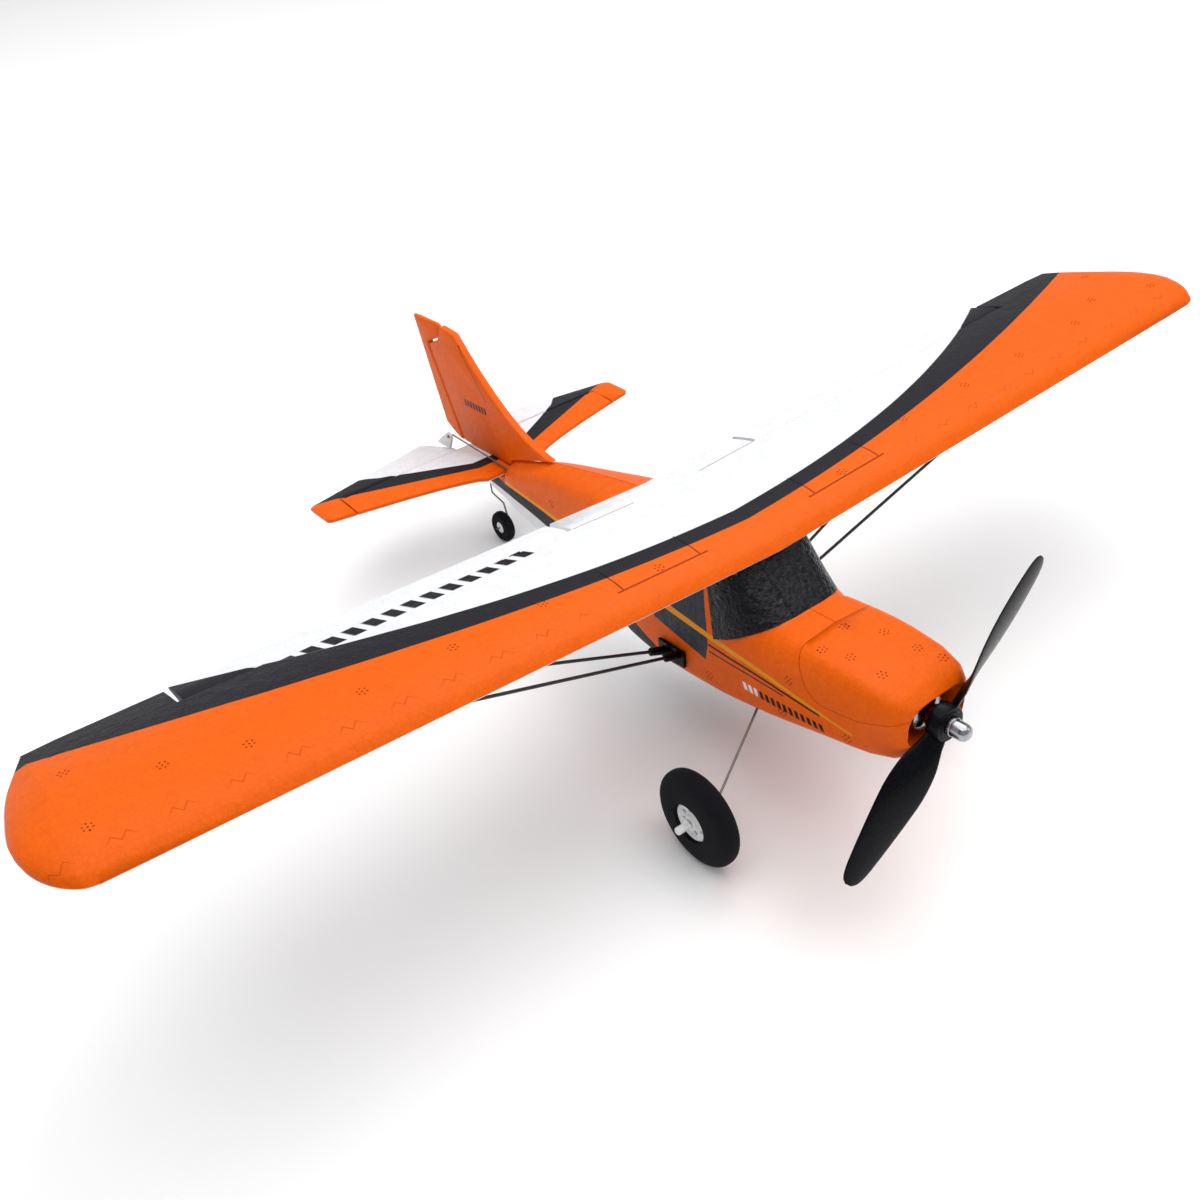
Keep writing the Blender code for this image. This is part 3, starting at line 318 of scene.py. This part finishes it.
def fin_finish():
    """Sprayed foam, orange but for a row of black bars, with the mould's faint border line as a groove with
    painted shade.
    """
    mat, tree, shader = new_finish("sprayed_foam_fin", FOAM)
    place, _, y, z = datum_place(tree)
    lean = add(tree, "Math", {0: z, 1: -0.72, 2: y}, operation="MULTIPLY_ADD")
    trim = bars(tree, y, z, start=318.0, pitch=2.9, count=9, low=37.0, high=41.0, lean=0.1)
    trim = both(tree, trim, above(tree, 344.0, y))
    colour = paint(tree, ORANGE, BLACK, trim)
    border = both(tree, near(tree, lean, 287.0, 0.35), above(tree, z, 45.0), above(tree, 74.0, z))
    foam_body(tree, shader, place, colour, border)
    return mat


def fuselage_finish():
    """Sprayed foam with side windows, a yellow sweep, pinstripes and the grey and white tail."""
    mat, tree, shader = new_finish("sprayed_foam_fuselage", FOAM)
    place, x, y, z = datum_place(tree)
    half = add(tree, "Math", {0: x}, operation="ABSOLUTE")
    # Only the outer skin is painted: the mask lies between it and the inner wall, up to 5 mm further in
    skin = [(0, 14), (10, 20), (20, 22.2), (45, 23.6), (72, 24.6), (110, 25.4), (150, 25.4), (176, 23),
            (190, 20.5), (205, 16.5), (240, 12), (262, 9.6), (285, 7.8), (303, 4.4), (346, 2)]
    side = above(tree, half, profile(tree, y, skin), 0.6)
    grey_top = profile(tree, y, [(118, -34), (151.6, -23.2), (170, -17.7), (205, -7), (240, 0.8),
                                 (262, 2.2), (303, 3.3), (346, 4.4)])
    white_top = profile(tree, y, [(140, -39), (190, -28), (230, -16.5), (265, -7.4), (303, -3.2),
                                  (346, -1.5)])
    aft = above(tree, y, 119.0)
    colour = paint(tree, ORANGE, CHARCOAL, both(tree, aft, above(tree, grey_top, z)))
    colour = paint(tree, colour, WHITE, both(tree, above(tree, y, 141.0), above(tree, white_top, z)))
    streaks = add(tree, "Mapping", {"Vector": place, "Scale": (0.3, 1.4, 0.35), "Rotation": (0.5, 0, 0)})
    brushed = add(tree, "TexNoise", {"Vector": streaks, "Scale": 1.0, "Detail": 4.0})
    dark = add(tree, "Mix", {0: brushed, 6: hue("#0E0F13"), 7: hue("#474A54")}, out=2, data_type="RGBA")
    sill = add(tree, "MapRange", {0: y, 1: 113.2, 2: 156.0, 3: -11.6, 4: -2.4}, clamp=False)
    upper = add(tree, "MapRange", {0: z, 1: 9.7, 2: 36.0, 3: 110.2, 4: 114.4})
    lower = add(tree, "MapRange", {0: z, 1: -11.6, 2: -1.0, 3: 3.1, 4: 0.0})
    front = add(tree, "Math", {0: upper, 1: lower}, operation="ADD")
    back = add(tree, "Math", {0: z, 1: 0.35, 2: 150.0}, operation="MULTIPLY_ADD")
    glass = both(tree, above(tree, z, sill), above(tree, y, front), above(tree, back, y),
                 above(tree, 36.0, z), above(tree, half, 20.5))
    colour = paint(tree, colour, dark, glass)
    sweep = profile(tree, y, [(26, -8.6), (40, -6.1), (73, -0.2), (109, 3.7), (140, 6.8), (175, 7.4),
                              (210, 5.6), (240, 3.2), (262, 3.3), (303, 4.4), (330, 5.0)])
    width = profile(tree, y, [(26, 0.5), (73, 1.2), (109, 1.6), (140, 1.9), (262, 1.2), (303, 0.9)])
    stripe = both(tree, near(tree, z, sweep, width), above(tree, y, 27.0), above(tree, 303.0, y), side)
    colour = paint(tree, colour, YELLOW, stripe)
    first = profile(tree, y, [(41.0, -7.2), (75.0, -3.3), (111.0, -1.3)])
    second = profile(tree, y, [(62.0, -6.6), (78.0, -5.8), (112.0, -5.2)])
    pins = both(tree, near(tree, z, first, 0.6, 0.1), above(tree, y, 44.0), above(tree, 110.0, y))
    thin = both(tree, near(tree, z, second, 0.4, 0.1), above(tree, y, 64.0), above(tree, 110.0, y))
    pins = both(tree, add(tree, "Math", {0: pins, 1: thin}, operation="MAXIMUM"), side)
    colour = paint(tree, colour, BLACK, pins)
    trim = bars(tree, y, z, start=46.0, pitch=3.4, count=14, low=-15.6, high=-11.6)
    trim = both(tree, trim, side)
    pale = above(tree, y, 80.0)
    colour = paint(tree, colour, paint(tree, BLACK, WHITE, pale), trim)
    foam_body(tree, shader, place, colour)
    return mat


def film_finish():
    """Vacuum-formed vinyl film: black gloss with the crinkle of film laid over foam."""
    mat, tree, shader = new_finish("black_vinyl_film", {"IOR": 1.5, "Roughness": 0.12,
                                                        "Specular IOR Level": 0.22})
    place, x, _, z = datum_place(tree)
    crinkle = add(tree, "TexNoise", {"Vector": place, "Scale": 1 / 3.2, "Detail": 3.5, "Roughness": 0.6,
                                     "Distortion": 0.8})
    fine = add(tree, "TexVoronoi", {"Vector": place, "Scale": 1 / 2.2}, feature="SMOOTH_F1")
    height = add(tree, "Math", {0: fine, 1: 0.45, 2: crinkle}, operation="MULTIPLY_ADD")
    colour = add(tree, "Mix", {0: crinkle, 6: hue("#06060B"), 7: hue("#12121A")}, out=2, data_type="RGBA")
    tree.links.new(colour, shader.inputs["Base Color"])
    dots = near(tree, add(tree, "Math", {0: z, 1: 1.1}, operation="PINGPONG"), 1.1, 0.6, 0.1)
    dots = both(tree, dots, near(tree, x, -8.4, 0.5, 0.15))
    height = add(tree, "Math", {0: dots, 1: 1.6, 2: height}, operation="MULTIPLY_ADD")
    bump = add(tree, "Bump", {"Height": height, "Strength": 0.9, "Distance": 0.0011})
    tree.links.new(bump, shader.inputs["Normal"])
    return mat


def grained_finish(name, dark, light, grain_mm, rough, constants, depth=0.0001, stretch=(1, 1, 1)):
    """A colour that varies between two tones with its grain, and a roughness that follows it."""
    mat, tree, shader = new_finish(name, constants)
    place = datum_place(tree)[0]
    if stretch != (1, 1, 1):
        place = add(tree, "Mapping", {"Vector": place, "Scale": stretch})
    grain = add(tree, "TexNoise", {"Vector": place, "Scale": 1 / grain_mm, "Detail": 4.0, "Roughness": 0.6})
    share = add(tree, "MapRange", {0: grain, 1: 0.3, 2: 0.7, 3: 0.0, 4: 1.0})
    colour = add(tree, "Mix", {0: share, 6: hue(dark), 7: hue(light)}, out=2, data_type="RGBA")
    gloss = add(tree, "MapRange", {0: grain, 1: 0.3, 2: 0.7, 3: rough[0], 4: rough[1]})
    bump = add(tree, "Bump", {"Height": grain, "Strength": 0.6, "Distance": depth})
    tree.links.new(colour, shader.inputs["Base Color"])
    tree.links.new(gloss, shader.inputs["Roughness"])
    tree.links.new(bump, shader.inputs["Normal"])
    return mat


def make_finishes():
    """The finish of each frame node by its name, and the plain finishes by their slot."""
    wing, tail = wing_finish(), tail_finish()
    fin, body = fin_finish(), fuselage_finish()
    finishes = {
        # Closed-cell rubber foam: dead matt, its fine pores drawn 1 mm wide so that they show
        "black_foam": grained_finish("foam_rubber", "#08080D", "#14141B", 1.0, (0.85, 0.98),
                                     {"IOR": 1.5, "Specular IOR Level": 0.2}, 0.0004),
        # Glass-filled nylon: near black, semi gloss, with a flow grain drawn coarse enough to show
        "black_plastic": grained_finish("black_nylon", "#05060A", "#0C0D13", 2.2, (0.22, 0.34),
                                        {"IOR": 1.53, "Specular IOR Level": 0.08}, 0.00002),
        # Natural nylon: milky white with a soft sheen
        "white_plastic": grained_finish("white_nylon", "#D9DADB", "#F1F1F0", 1.6, (0.34, 0.5),
                                        {"IOR": 1.53}, 0.00006),
        # Drawn spring wire: grey-brown with a fine uneven dullness
        "steel_wire": grained_finish("spring_steel", "#6E645C", "#8E857C", 1.2, (0.28, 0.46),
                                     {"Metallic": 1.0}, 0.00003),
        # Pultruded carbon: black, clouded with grey where fibres lie near the skin
        "carbon_rod": grained_finish("pultruded_carbon", "#0B0B0E", "#232329", 1.4, (0.3, 0.5),
                                     {"IOR": 1.55}, 0.00005),
        # Turned aluminium: bright, with faint bands round the axis
        "turned_aluminium": grained_finish("turned_aluminium", "#85878D", "#BDBFC4", 0.5, (0.16, 0.3),
                                           {"Metallic": 1.0}, 0.00002, (1, 3, 1)),
        # Red anodised aluminium: a dyed skin with a soft metal glow
        "red_anodised": grained_finish("red_anodised_aluminium", "#8A2A2C", "#B5484A", 0.8, (0.22, 0.36),
                                       {"Metallic": 1.0}, 0.00002, (1, 3, 1)),
        # Moulded blue ABS of a servo case: a soft, slightly mottled sheen
        "servo_case": grained_finish("blue_abs", "#12306E", "#1E4A96", 2.0, (0.25, 0.4),
                                     {"IOR": 1.54}, 0.00004),
        # PVC shrink sleeve: dark, slightly wrinkled
        "battery_wrap": grained_finish("pvc_shrink_sleeve", "#1B2430", "#2C3A4C", 5.0, (0.3, 0.45),
                                       {"IOR": 1.53}, 0.0003),
        # Solder mask over glass board: glossy green with a mottled tone
        "circuit_board": grained_finish("solder_mask", "#0B3D22", "#14603A", 1.5, (0.3, 0.5),
                                        {"IOR": 1.55}, 0.00005),
        # Birch plywood: grain lines along the sheet
        "plywood": grained_finish("birch_ply", "#B98A55", "#D9B380", 3.0, (0.6, 0.8),
                                  {"IOR": 1.5}, 0.0001, (3.0, 0.3, 3.0)),
        # Vinyl film over foam, as film_finish says
        "black_film": film_finish(),
        # Vent pips: dead matt where the mould's vents left the foam rough, and their orange painted darker as
        # painted shade standing in for the shade in the vent dimples
        "shaded_vent_pips": grained_finish("vent_pip_foam_painted_shade", "#6E2503", "#8E3304", 1.0, (0.7, 0.9),
                                    {"IOR": 1.46, "Specular IOR Level": 0.2}, 0.0001),
    }
    by_node = {}
    for node, slot in SLOTS.items():
        if node.startswith("fuselage") or node == "battery_hatch":
            by_node[node] = body
        elif node in ("fin", "rudder"):
            by_node[node] = fin
        elif node.startswith("elevator_l") or node.startswith("elevator_r") or node == "tailplane":
            by_node[node] = tail
        elif node in ("wing", "aileron_left", "aileron_right"):
            by_node[node] = wing
        else:
            by_node[node] = finishes[slot]
    return by_node, finishes


# ---------------------------------------------------------------- pieces


def select_only(obj):
    """Selects one object and makes it the active one."""
    bpy.ops.object.select_all(action="DESELECT")
    obj.hide_set(False)
    obj.select_set(True)
    bpy.context.view_layer.objects.active = obj


def settle(piece, body, finish, nodes=(), angle=35):
    """Puts a finished piece on its body with its material and its place in its mesh."""
    select_only(piece)
    bpy.ops.object.transform_apply(location=True, rotation=True, scale=True)
    bpy.ops.object.shade_smooth_by_angle(angle=math.radians(angle))
    piece.data.materials.clear()
    piece.data.materials.append(finish)
    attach(piece, body)
    if nodes:
        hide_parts(*nodes)
    return piece


def fused_copy(node, finish):
    """The frame's own solid with its triangles joined up, smooth where it is round."""
    source = frame["nodes"][node]
    piece = source.copy()
    piece.data = source.data.copy()
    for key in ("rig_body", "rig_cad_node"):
        del piece[key]
    piece.parent = None
    piece.name = node + "_skin"
    piece.data.name = piece.name
    bpy.context.scene.collection.objects.link(piece)
    select_only(piece)
    bpy.ops.object.mode_set(mode="EDIT")
    bpy.ops.mesh.select_all(action="SELECT")
    bpy.ops.mesh.remove_doubles(threshold=WELD)
    bpy.ops.mesh.dissolve_limited(angle_limit=math.radians(0.4))
    bpy.ops.object.mode_set(mode="OBJECT")
    if node == "wing":
        round_wing_tips(piece)
    return settle(piece, BODY_OF[node], finish, (node,))


def name_piece(name):
    """Names the object just made, and its mesh."""
    piece = bpy.context.object
    piece.name = name
    piece.data.name = name
    return piece


def turned(name, outline, centre, axis, steps=64):
    """A turned piece: its outline, as (along the axis, radius) in millimetres, spun all the way round."""
    out = axis.orthogonal().normalized()
    places = [centre + (axis * along + out * radius) * MM for along, radius in outline]
    bpy.ops.object.select_all(action="DESELECT")
    bpy.ops.mesh.primitive_plane_add(size=MM, location=places[0])
    piece = name_piece(name)
    bpy.ops.object.mode_set(mode="EDIT")
    bpy.ops.mesh.select_all(action="SELECT")
    bpy.ops.mesh.merge(type="CENTER")
    for here, there in zip(places, places[1:]):
        bpy.ops.mesh.extrude_region_move(TRANSFORM_OT_translate={"value": there - here})
    bpy.ops.mesh.select_all(action="SELECT")
    bpy.ops.mesh.spin(steps=steps, angle=2 * math.pi, center=centre, axis=axis)
    bpy.ops.mesh.select_all(action="SELECT")
    bpy.ops.mesh.remove_doubles(threshold=WELD)
    bpy.ops.mesh.normals_make_consistent(inside=False)
    bpy.ops.object.mode_set(mode="OBJECT")
    return piece


def drilled(piece, holes, radius, depth, axis):
    """Bores round holes of one size, each centred at a place, through or into a piece."""
    turn = axis.to_track_quat("Z", "Y").to_euler()
    pegs = []
    for place in holes:
        bpy.ops.object.select_all(action="DESELECT")
        bpy.ops.mesh.primitive_cylinder_add(vertices=24, radius=radius * MM, depth=depth * MM, location=place,
                                            rotation=turn)
        pegs.append(bpy.context.object)
    for peg in pegs:
        cut = piece.modifiers.new("bore", "BOOLEAN")
        cut.object = peg
        select_only(piece)
        bpy.ops.object.modifier_apply(modifier=cut.name)
        bpy.data.objects.remove(peg)


def around(centre, axis, radius, count, along, start=0.5):
    """Evenly spaced places on a circle about an axis, in metres."""
    out = axis.orthogonal().normalized()
    places = []
    for k in range(count):
        turn = Matrix.Rotation(2 * math.pi * (k + start) / count, 3, axis)
        places.append(centre + (axis * along + turn @ out * radius) * MM)
    return places


def smooth_line(points, steps):
    """A smooth curve through the points, as evenly shared places along it."""
    line = []
    last = len(points) - 1
    for k in range(steps + 1):
        share = k / steps * last
        i = min(int(share), last - 1)
        t = share - i
        a, b = points[i], points[i + 1]
        before = points[i - 1] if i else a + (a - b)
        after = points[i + 2] if i + 2 <= last else b + (b - a)
        into, away = (b - before) / 2, (after - a) / 2
        line.append(a + into * t + (3 * (b - a) - 2 * into - away) * t**2
                    + (into + away - 2 * (b - a)) * t**3)
    return line


def loft(name, rings):
    """A closed skin over rings of equally many places, given in the airframe's millimetres."""
    sides = len(rings[0])
    faces = [tuple(range(sides)), tuple(range(len(rings) * sides - 1, (len(rings) - 1) * sides - 1, -1))]
    for row in range(len(rings) - 1):
        for k in range(sides):
            j = (k + 1) % sides
            faces.append((row * sides + k, row * sides + j, (row + 1) * sides + j, (row + 1) * sides + k))
    mesh = bpy.data.meshes.new(name)
    mesh.from_pydata([at(*place) for ring in rings for place in ring], [], faces)
    piece = bpy.data.objects.new(name, mesh)
    bpy.context.scene.collection.objects.link(piece)
    select_only(piece)
    bpy.ops.object.mode_set(mode="EDIT")
    bpy.ops.mesh.select_all(action="SELECT")
    bpy.ops.mesh.normals_make_consistent(inside=False)
    bpy.ops.object.mode_set(mode="OBJECT")
    return piece


def round_wing_tips(wing):
    """Takes the last rib bays off the wing and lofts each tip again, smooth in plan."""
    upper = [(0, 3.5), (2.5, 6.5), (5, 7.9), (10, 9.6), (20, 11.4), (30, 11.7), (40, 11.4), (50, 10.5),
             (60, 9.15), (70, 7.35), (80, 5.2), (90, 2.8), (100, 0.1)]
    lower = [(1.5, 1.8), (5, 0.9), (12, 0.3), (30, 0), (60, 0), (100, 0)]
    # Distance out, leading edge, trailing edge, and the share of the full thickness
    plan = [(TIP_FROM, 90.2, 181.0, 1.0), (303.0, 91.8, 171.5, 0.92), (308.0, 96.2, 161.5, 0.78),
            (312.0, 102.0, 151.0, 0.6), (315.0, 109.5, 139.0, 0.38), (316.5, 118.0, 130.0, 0.14)]
    select_only(wing)
    bpy.ops.object.mode_set(mode="EDIT")
    for side in (-1, 1):
        bpy.ops.mesh.select_all(action="SELECT")
        bpy.ops.mesh.bisect(plane_co=(side * TIP_FROM * MM, 0, 0), plane_no=(side, 0, 0), clear_outer=True,
                            use_fill=True)
    bpy.ops.object.mode_set(mode="OBJECT")
    ribs = smooth_line([Vector(row) for row in plan], 40)
    tips = []
    for side in (-1, 1):
        rings = []
        for x, lead, trail, scale in ribs:
            seat = WING_SEAT + x * math.tan(DIHEDRAL) + (1 - scale) * TIP_LIFT
            ring = []
            for u, v in reversed(upper):
                height = (CHORD_PERCENT * v + TRAILING_EDGE * u / 100) * scale
                ring.append((side * x, lead + (trail - lead) * u / 100, seat + height))
            for u, v in lower:
                height = CHORD_PERCENT * v * scale
                ring.append((side * x, lead + (trail - lead) * u / 100, seat + height))
            rings.append(ring)
        tips.append(loft("tip", rings))
    select_only(wing)
    for tip in tips:
        tip.select_set(True)
    bpy.ops.object.join()


def make_windshield(finish):
    """The film screen: one sheet wrapped round the cabin front between two smooth edges."""
    sill = [(0, 74.3, 20.3), (10, 74.8, 19.8), (19.5, 77.5, 18.3), (25.5, 83.5, 15.2), (29.4, 92.5, 10.4),
            (30.4, 103.6, 5.6)]
    header = [(0, 95.6, 39.9), (8, 95.8, 40), (15.5, 97, 40.1), (21.6, 99.5, 40.3), (24.6, 104, 40.3),
              (25.9, 111, 40.0)]
    edges = []
    for edge in (sill, header):
        right = [Vector((-x, y, z)) for x, y, z in reversed(edge[1:])]
        edges.append(smooth_line(right + [Vector(point) for point in edge], 72))
    places, faces = [], []
    for row in range(FILM_ROWS + 1):
        share = row / FILM_ROWS
        hollow = FILM_DIP * math.sin(math.pi * share)
        for low, high in zip(*edges):
            place = low.lerp(high, share)
            place.y += hollow * (1 - min(1.0, abs(place.x) / FLAT_HALF))
            places.append(at(*place))
    width = len(edges[0])
    for row in range(FILM_ROWS):
        for k in range(width - 1):
            corner = row * width + k
            faces.append((corner, corner + 1, corner + width + 1, corner + width))
    mesh = bpy.data.meshes.new("windshield_film")
    mesh.from_pydata(places, [], faces)
    piece = bpy.data.objects.new("windshield_film", mesh)
    bpy.context.scene.collection.objects.link(piece)
    select_only(piece)
    wall = piece.modifiers.new("film_thickness", "SOLIDIFY")
    wall.thickness = FILM * MM
    wall.offset = 0.0
    bpy.ops.object.modifier_apply(modifier=wall.name)
    settle(piece, "airframe", finish, ("windshield",), 60)


def make_main_wheel(side, name, finishes):
    """A foam tyre on a dished plastic hub, with the cap on the end of its axle."""
    axis = Vector((side, 0, 0))
    centre = Vector(JOINTS["wheel_" + name + "_spin"]["pos_m"])
    low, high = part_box("tyre_" + name)
    half, radius = (high[0] - low[0]) / 2 / MM, (high[1] - low[1]) / 2 / MM
    # Powers under 1 fill the shoulders out, so that the tread is broad
    outline = []
    for k in range(33):
        turn = math.pi * (k / 32 - 0.5)
        crown = math.copysign(abs(math.sin(turn)) ** 0.78, math.sin(turn))
        outline.append((half * crown, TYRE_BORE + (radius - TYRE_BORE) * abs(math.cos(turn)) ** 0.7))
    tyre = turned("tyre_" + name + "_foam", [*outline, outline[0]], centre, axis, 96)
    settle(tyre, "wheel_" + name, finishes["black_foam"], ("tyre_" + name,), 50)
    disc = [(-5.0, 1.0), (-5.0, 2.6), (-3.2, 2.8), (-2.8, 9.5), (4.4, 9.5), (4.65, 9.25), (4.65, 8.3),
            (4.4, 8.0), (3.7, 7.8), (3.7, 4.2), (4.1, 3.9), (5.4, 3.5), (5.6, 3.2), (5.6, 1.0), (-5.0, 1.0)]
    hub = turned("hub_" + name + "_moulding", disc, centre, axis, 64)
    holes = around(centre, axis, radius=6.0, count=8, along=2.0)
    drilled(hub, holes, radius=1.15, depth=18, axis=axis)
    settle(hub, "wheel_" + name, finishes["white_plastic"], ("hub_" + name,), 32)
    cap = [(12.6, 0), (12.6, 0.95), (6.45, 0.95), (6.45, 2.4), (6.9, 2.4), (7.1, 1.9), (12.2, 1.9),
           (12.75, 1.7), (13.0, 1.3), (13.05, 0)]
    piece = turned("axle_cap_" + name + "_moulding", cap, centre, axis, 32)
    settle(piece, "airframe", finishes["white_plastic"], ("axle_cap_" + name,), 32)


def make_prop_nut(finish):
    """A turned aluminium spinner nut with its tommy-bar hole."""
    outline = [(8.4, 0), (8.4, 1.85), (3.9, 1.85), (3.9, 4.2), (5.0, 4.2), (5.2, 3.9), (5.4, 3.95),
               (9.8, 3.8), (11.2, 3.3), (12.0, 2.5), (12.4, 1.3), (12.45, 0)]
    nut = turned("prop_nut_turning", outline, NOSE, -AFT, 64)
    turn = Matrix.Rotation(math.radians(35), 3, AFT)
    drilled(nut, [NOSE - AFT * 10.0 * MM], radius=0.85, depth=12, axis=turn @ LEFT)
    settle(nut, "power", finish, ("prop_nut",), 30)


def make_motor_bell(finish):
    """The outrunner's bell: a bright turned cup with its ring of cooling windows."""
    outline = [(6.6, 0), (6.6, 4.4), (6.9, 5.0), (7.8, 8.0), (8.4, 8.7), (9.4, 9.0), (21.2, 9.0),
               (21.4, 8.8), (21.4, 0)]
    bell = turned("motor_bell_cup", outline, NOSE, AFT, 64)
    drilled(bell, around(NOSE, AFT, radius=6.5, count=6, along=7.5), radius=1.7, depth=8, axis=AFT)
    settle(bell, "power", finish, ("motor_bell",), 30)


def make_propeller(finish):
    """Two twisted blades moulded in one with a thick round boss."""
    boss = [(-3.5, 1.9), (-3.5, 7.4), (-2.9, 8.0), (2.3, 8.0), (2.9, 7.5), (3.0, 6.2), (3.5, 5.8), (3.5, 1.9),
            (-3.5, 1.9)]
    piece = turned("propeller_moulding", boss, NOSE, -AFT, 64)
    table = smooth_line([Vector(pair) for pair in zip(BLADE_SHARES, BLADE_CHORDS)], 54)
    sides = 32
    for turn in (PROP_REST, PROP_REST + math.pi):
        rings = []
        for share, chord in table:
            reach, width, thick = share * PROP_R, PROP_CHORD * chord, PROP_THICK - PROP_TAPER * share
            twist = math.atan2(PROP_PITCH, 2 * math.pi * max(reach, TWIST_FROM))
            ring = []
            for k in range(sides):
                angle = 2 * math.pi * k / sides
                along = width * 0.5 * math.cos(angle)
                across = thick * 0.5 * math.sin(angle) + PROP_CAMBER * width * math.sin(angle) ** 2
                place = Vector((along * math.cos(twist) + across * math.sin(twist),
                                along * math.sin(twist) - across * math.cos(twist), reach))
                ring.append(Matrix.Rotation(turn, 3, "Y") @ place)
            rings.append(ring)
        blade = loft("blade", rings)
        join = piece.modifiers.new("blade_root", "BOOLEAN")
        join.operation = "UNION"
        join.object = blade
        select_only(piece)
        bpy.ops.object.modifier_apply(modifier=join.name)
        bpy.data.objects.remove(blade)
    settle(piece, "power", finish, ("propeller",), 40)


def make_vent_marks(name, body, finish, skin, targets, towards):
    """Rosettes of steam-vent pips left by the mould, set on the skin where each line meets it."""
    marks = []
    for x, y, z in targets:
        start = at(x, y, z) - towards * FAR_OFF
        struck, place, normal, _ = skin.ray_cast(start, towards)
        if not struck:
            continue
        turn = normal.to_track_quat("Z", "Y")
        for k in range(7):
            spread = 0 if k == 6 else PIP_SPREAD
            angle = k * math.pi / 3
            offset = Vector((spread * math.cos(angle), spread * math.sin(angle), 0.0)) * MM
            bpy.ops.object.select_all(action="DESELECT")
            bpy.ops.mesh.primitive_cone_add(vertices=8, radius1=PIP_BASE * MM, radius2=PIP_TOP * MM,
                                            depth=PIP_HEIGHT * MM,
                                            location=place + turn @ offset + normal * PIP_LIFT * MM,
                                            rotation=turn.to_euler())
            marks.append(bpy.context.object)
    for mark in marks:
        mark.select_set(True)
    bpy.ops.object.join()
    settle(name_piece(name), body, finish, (), 30)


# ---------------------------------------------------------------- stage


def make_stage():
    """A white paper floor under a wide softbox, a key light and a weaker light off the nose."""
    bpy.ops.mesh.primitive_plane_add(size=8, location=(0, 0, 0))
    floor = bpy.context.object
    floor.name = "studio_floor"
    mat, tree, shader = new_finish("white_paper_roll", {"Roughness": 0.9, "Specular IOR Level": 0.1})
    place = add(tree, "TexCoord", out="Object")
    fibre = add(tree, "TexNoise", {"Vector": place, "Scale": 3.0, "Detail": 3.0})
    colour = add(tree, "Mix", {0: fibre, 6: hue("#FAF9F9"), 7: hue("#FEFEFE")}, out=2, data_type="RGBA")
    tree.links.new(colour, shader.inputs["Base Color"])
    floor.data.materials.append(mat)
    world = bpy.data.worlds.new("studio_air")
    bpy.context.scene.world = world
    world.use_nodes = True
    background = world.node_tree.nodes["Background"]
    background.inputs["Color"].default_value = (1.0, 1.0, 1.0, 1.0)
    background.inputs["Strength"].default_value = 0.4
    bpy.context.scene.view_settings.view_transform = "Standard"
    lamps = (("overhead_softbox", (0.1, 0.15, 1.6), 2.4, 33.0), ("key_light", (0.7, 0.5, 1.5), 0.8, 5.0),
             ("nose_light", (1.1, -1.2, 0.9), 0.9, 3.5))
    for name, place, size, power in lamps:
        lamp = bpy.data.lights.new(name, "AREA")
        lamp.size = size
        lamp.energy = power
        holder = bpy.data.objects.new(name, lamp)
        bpy.context.scene.collection.objects.link(holder)
        holder.location = place
        holder.rotation_euler = (Vector((0, 0, 0.05)) - Vector(place)).to_track_quat("-Z", "Y").to_euler()


def make_camera():
    """The view from ahead, above and to the right of the nose."""
    lens = bpy.data.cameras.new("view_camera")
    lens.sensor_width = 36.0
    lens.lens = 38.668
    camera = bpy.data.objects.new("view_camera", lens)
    bpy.context.scene.collection.objects.link(camera)
    camera.location = (-0.32248, -0.40377, 0.46047)
    camera.rotation_euler = [math.radians(degrees) for degrees in (50.517, 2.133, -37.95)]
    bpy.context.scene.camera = camera


def main():
    """Makes the stage, the finishes and the detailed pieces, then the skins of all other nodes."""
    make_stage()
    make_camera()
    by_node, finishes = make_finishes()
    make_windshield(finishes["black_film"])
    make_main_wheel(1, "left", finishes)
    make_main_wheel(-1, "right", finishes)
    make_prop_nut(finishes["turned_aluminium"])
    make_motor_bell(finishes["turned_aluminium"])
    make_propeller(finishes["black_plastic"])
    own = {"windshield", "prop_nut", "motor_bell", "propeller"}
    for name in ("left", "right"):
        own |= {"tyre_" + name, "hub_" + name, "axle_cap_" + name}
    skins = {}
    for node in frame["nodes"]:
        if node not in own:
            skins[node] = fused_copy(node, by_node[node])
    # The pips' darker orange is painted shade, standing in for the shade in the mould's vent dimples
    pips = finishes["shaded_vent_pips"]
    for name, side in (("left", 1), ("right", -1)):
        spots = [(293, 110), (234, 114), (290, 148), (189, 114), (149, 115), (106, 116), (262, 124),
                 (54, 106)]
        make_vent_marks("wing_vents_" + name, "airframe", pips, skins["wing"],
                        [(side * x, y, 60) for x, y in spots], -UP)
        flank = [(20, 2), (30, -12), (60, 4), (66, -17), (112, -20), (160, -8), (172, 14), (215, 8),
                 (250, 12)]
        make_vent_marks("fuselage_vents_" + name, "airframe", pips,
                        skins["fuselage_" + name], [(side * 34, y, z) for y, z in flank], -LEFT * side)
    roof = [(-12, 22), (11, 24), (-13, 38), (9, 40), (0, 54), (-17, 50), (15, 14)]
    make_vent_marks("hatch_vents", BODY_OF["battery_hatch"], pips,
                    skins["battery_hatch"], [(x, y, 40) for x, y in roof], -UP)


main()
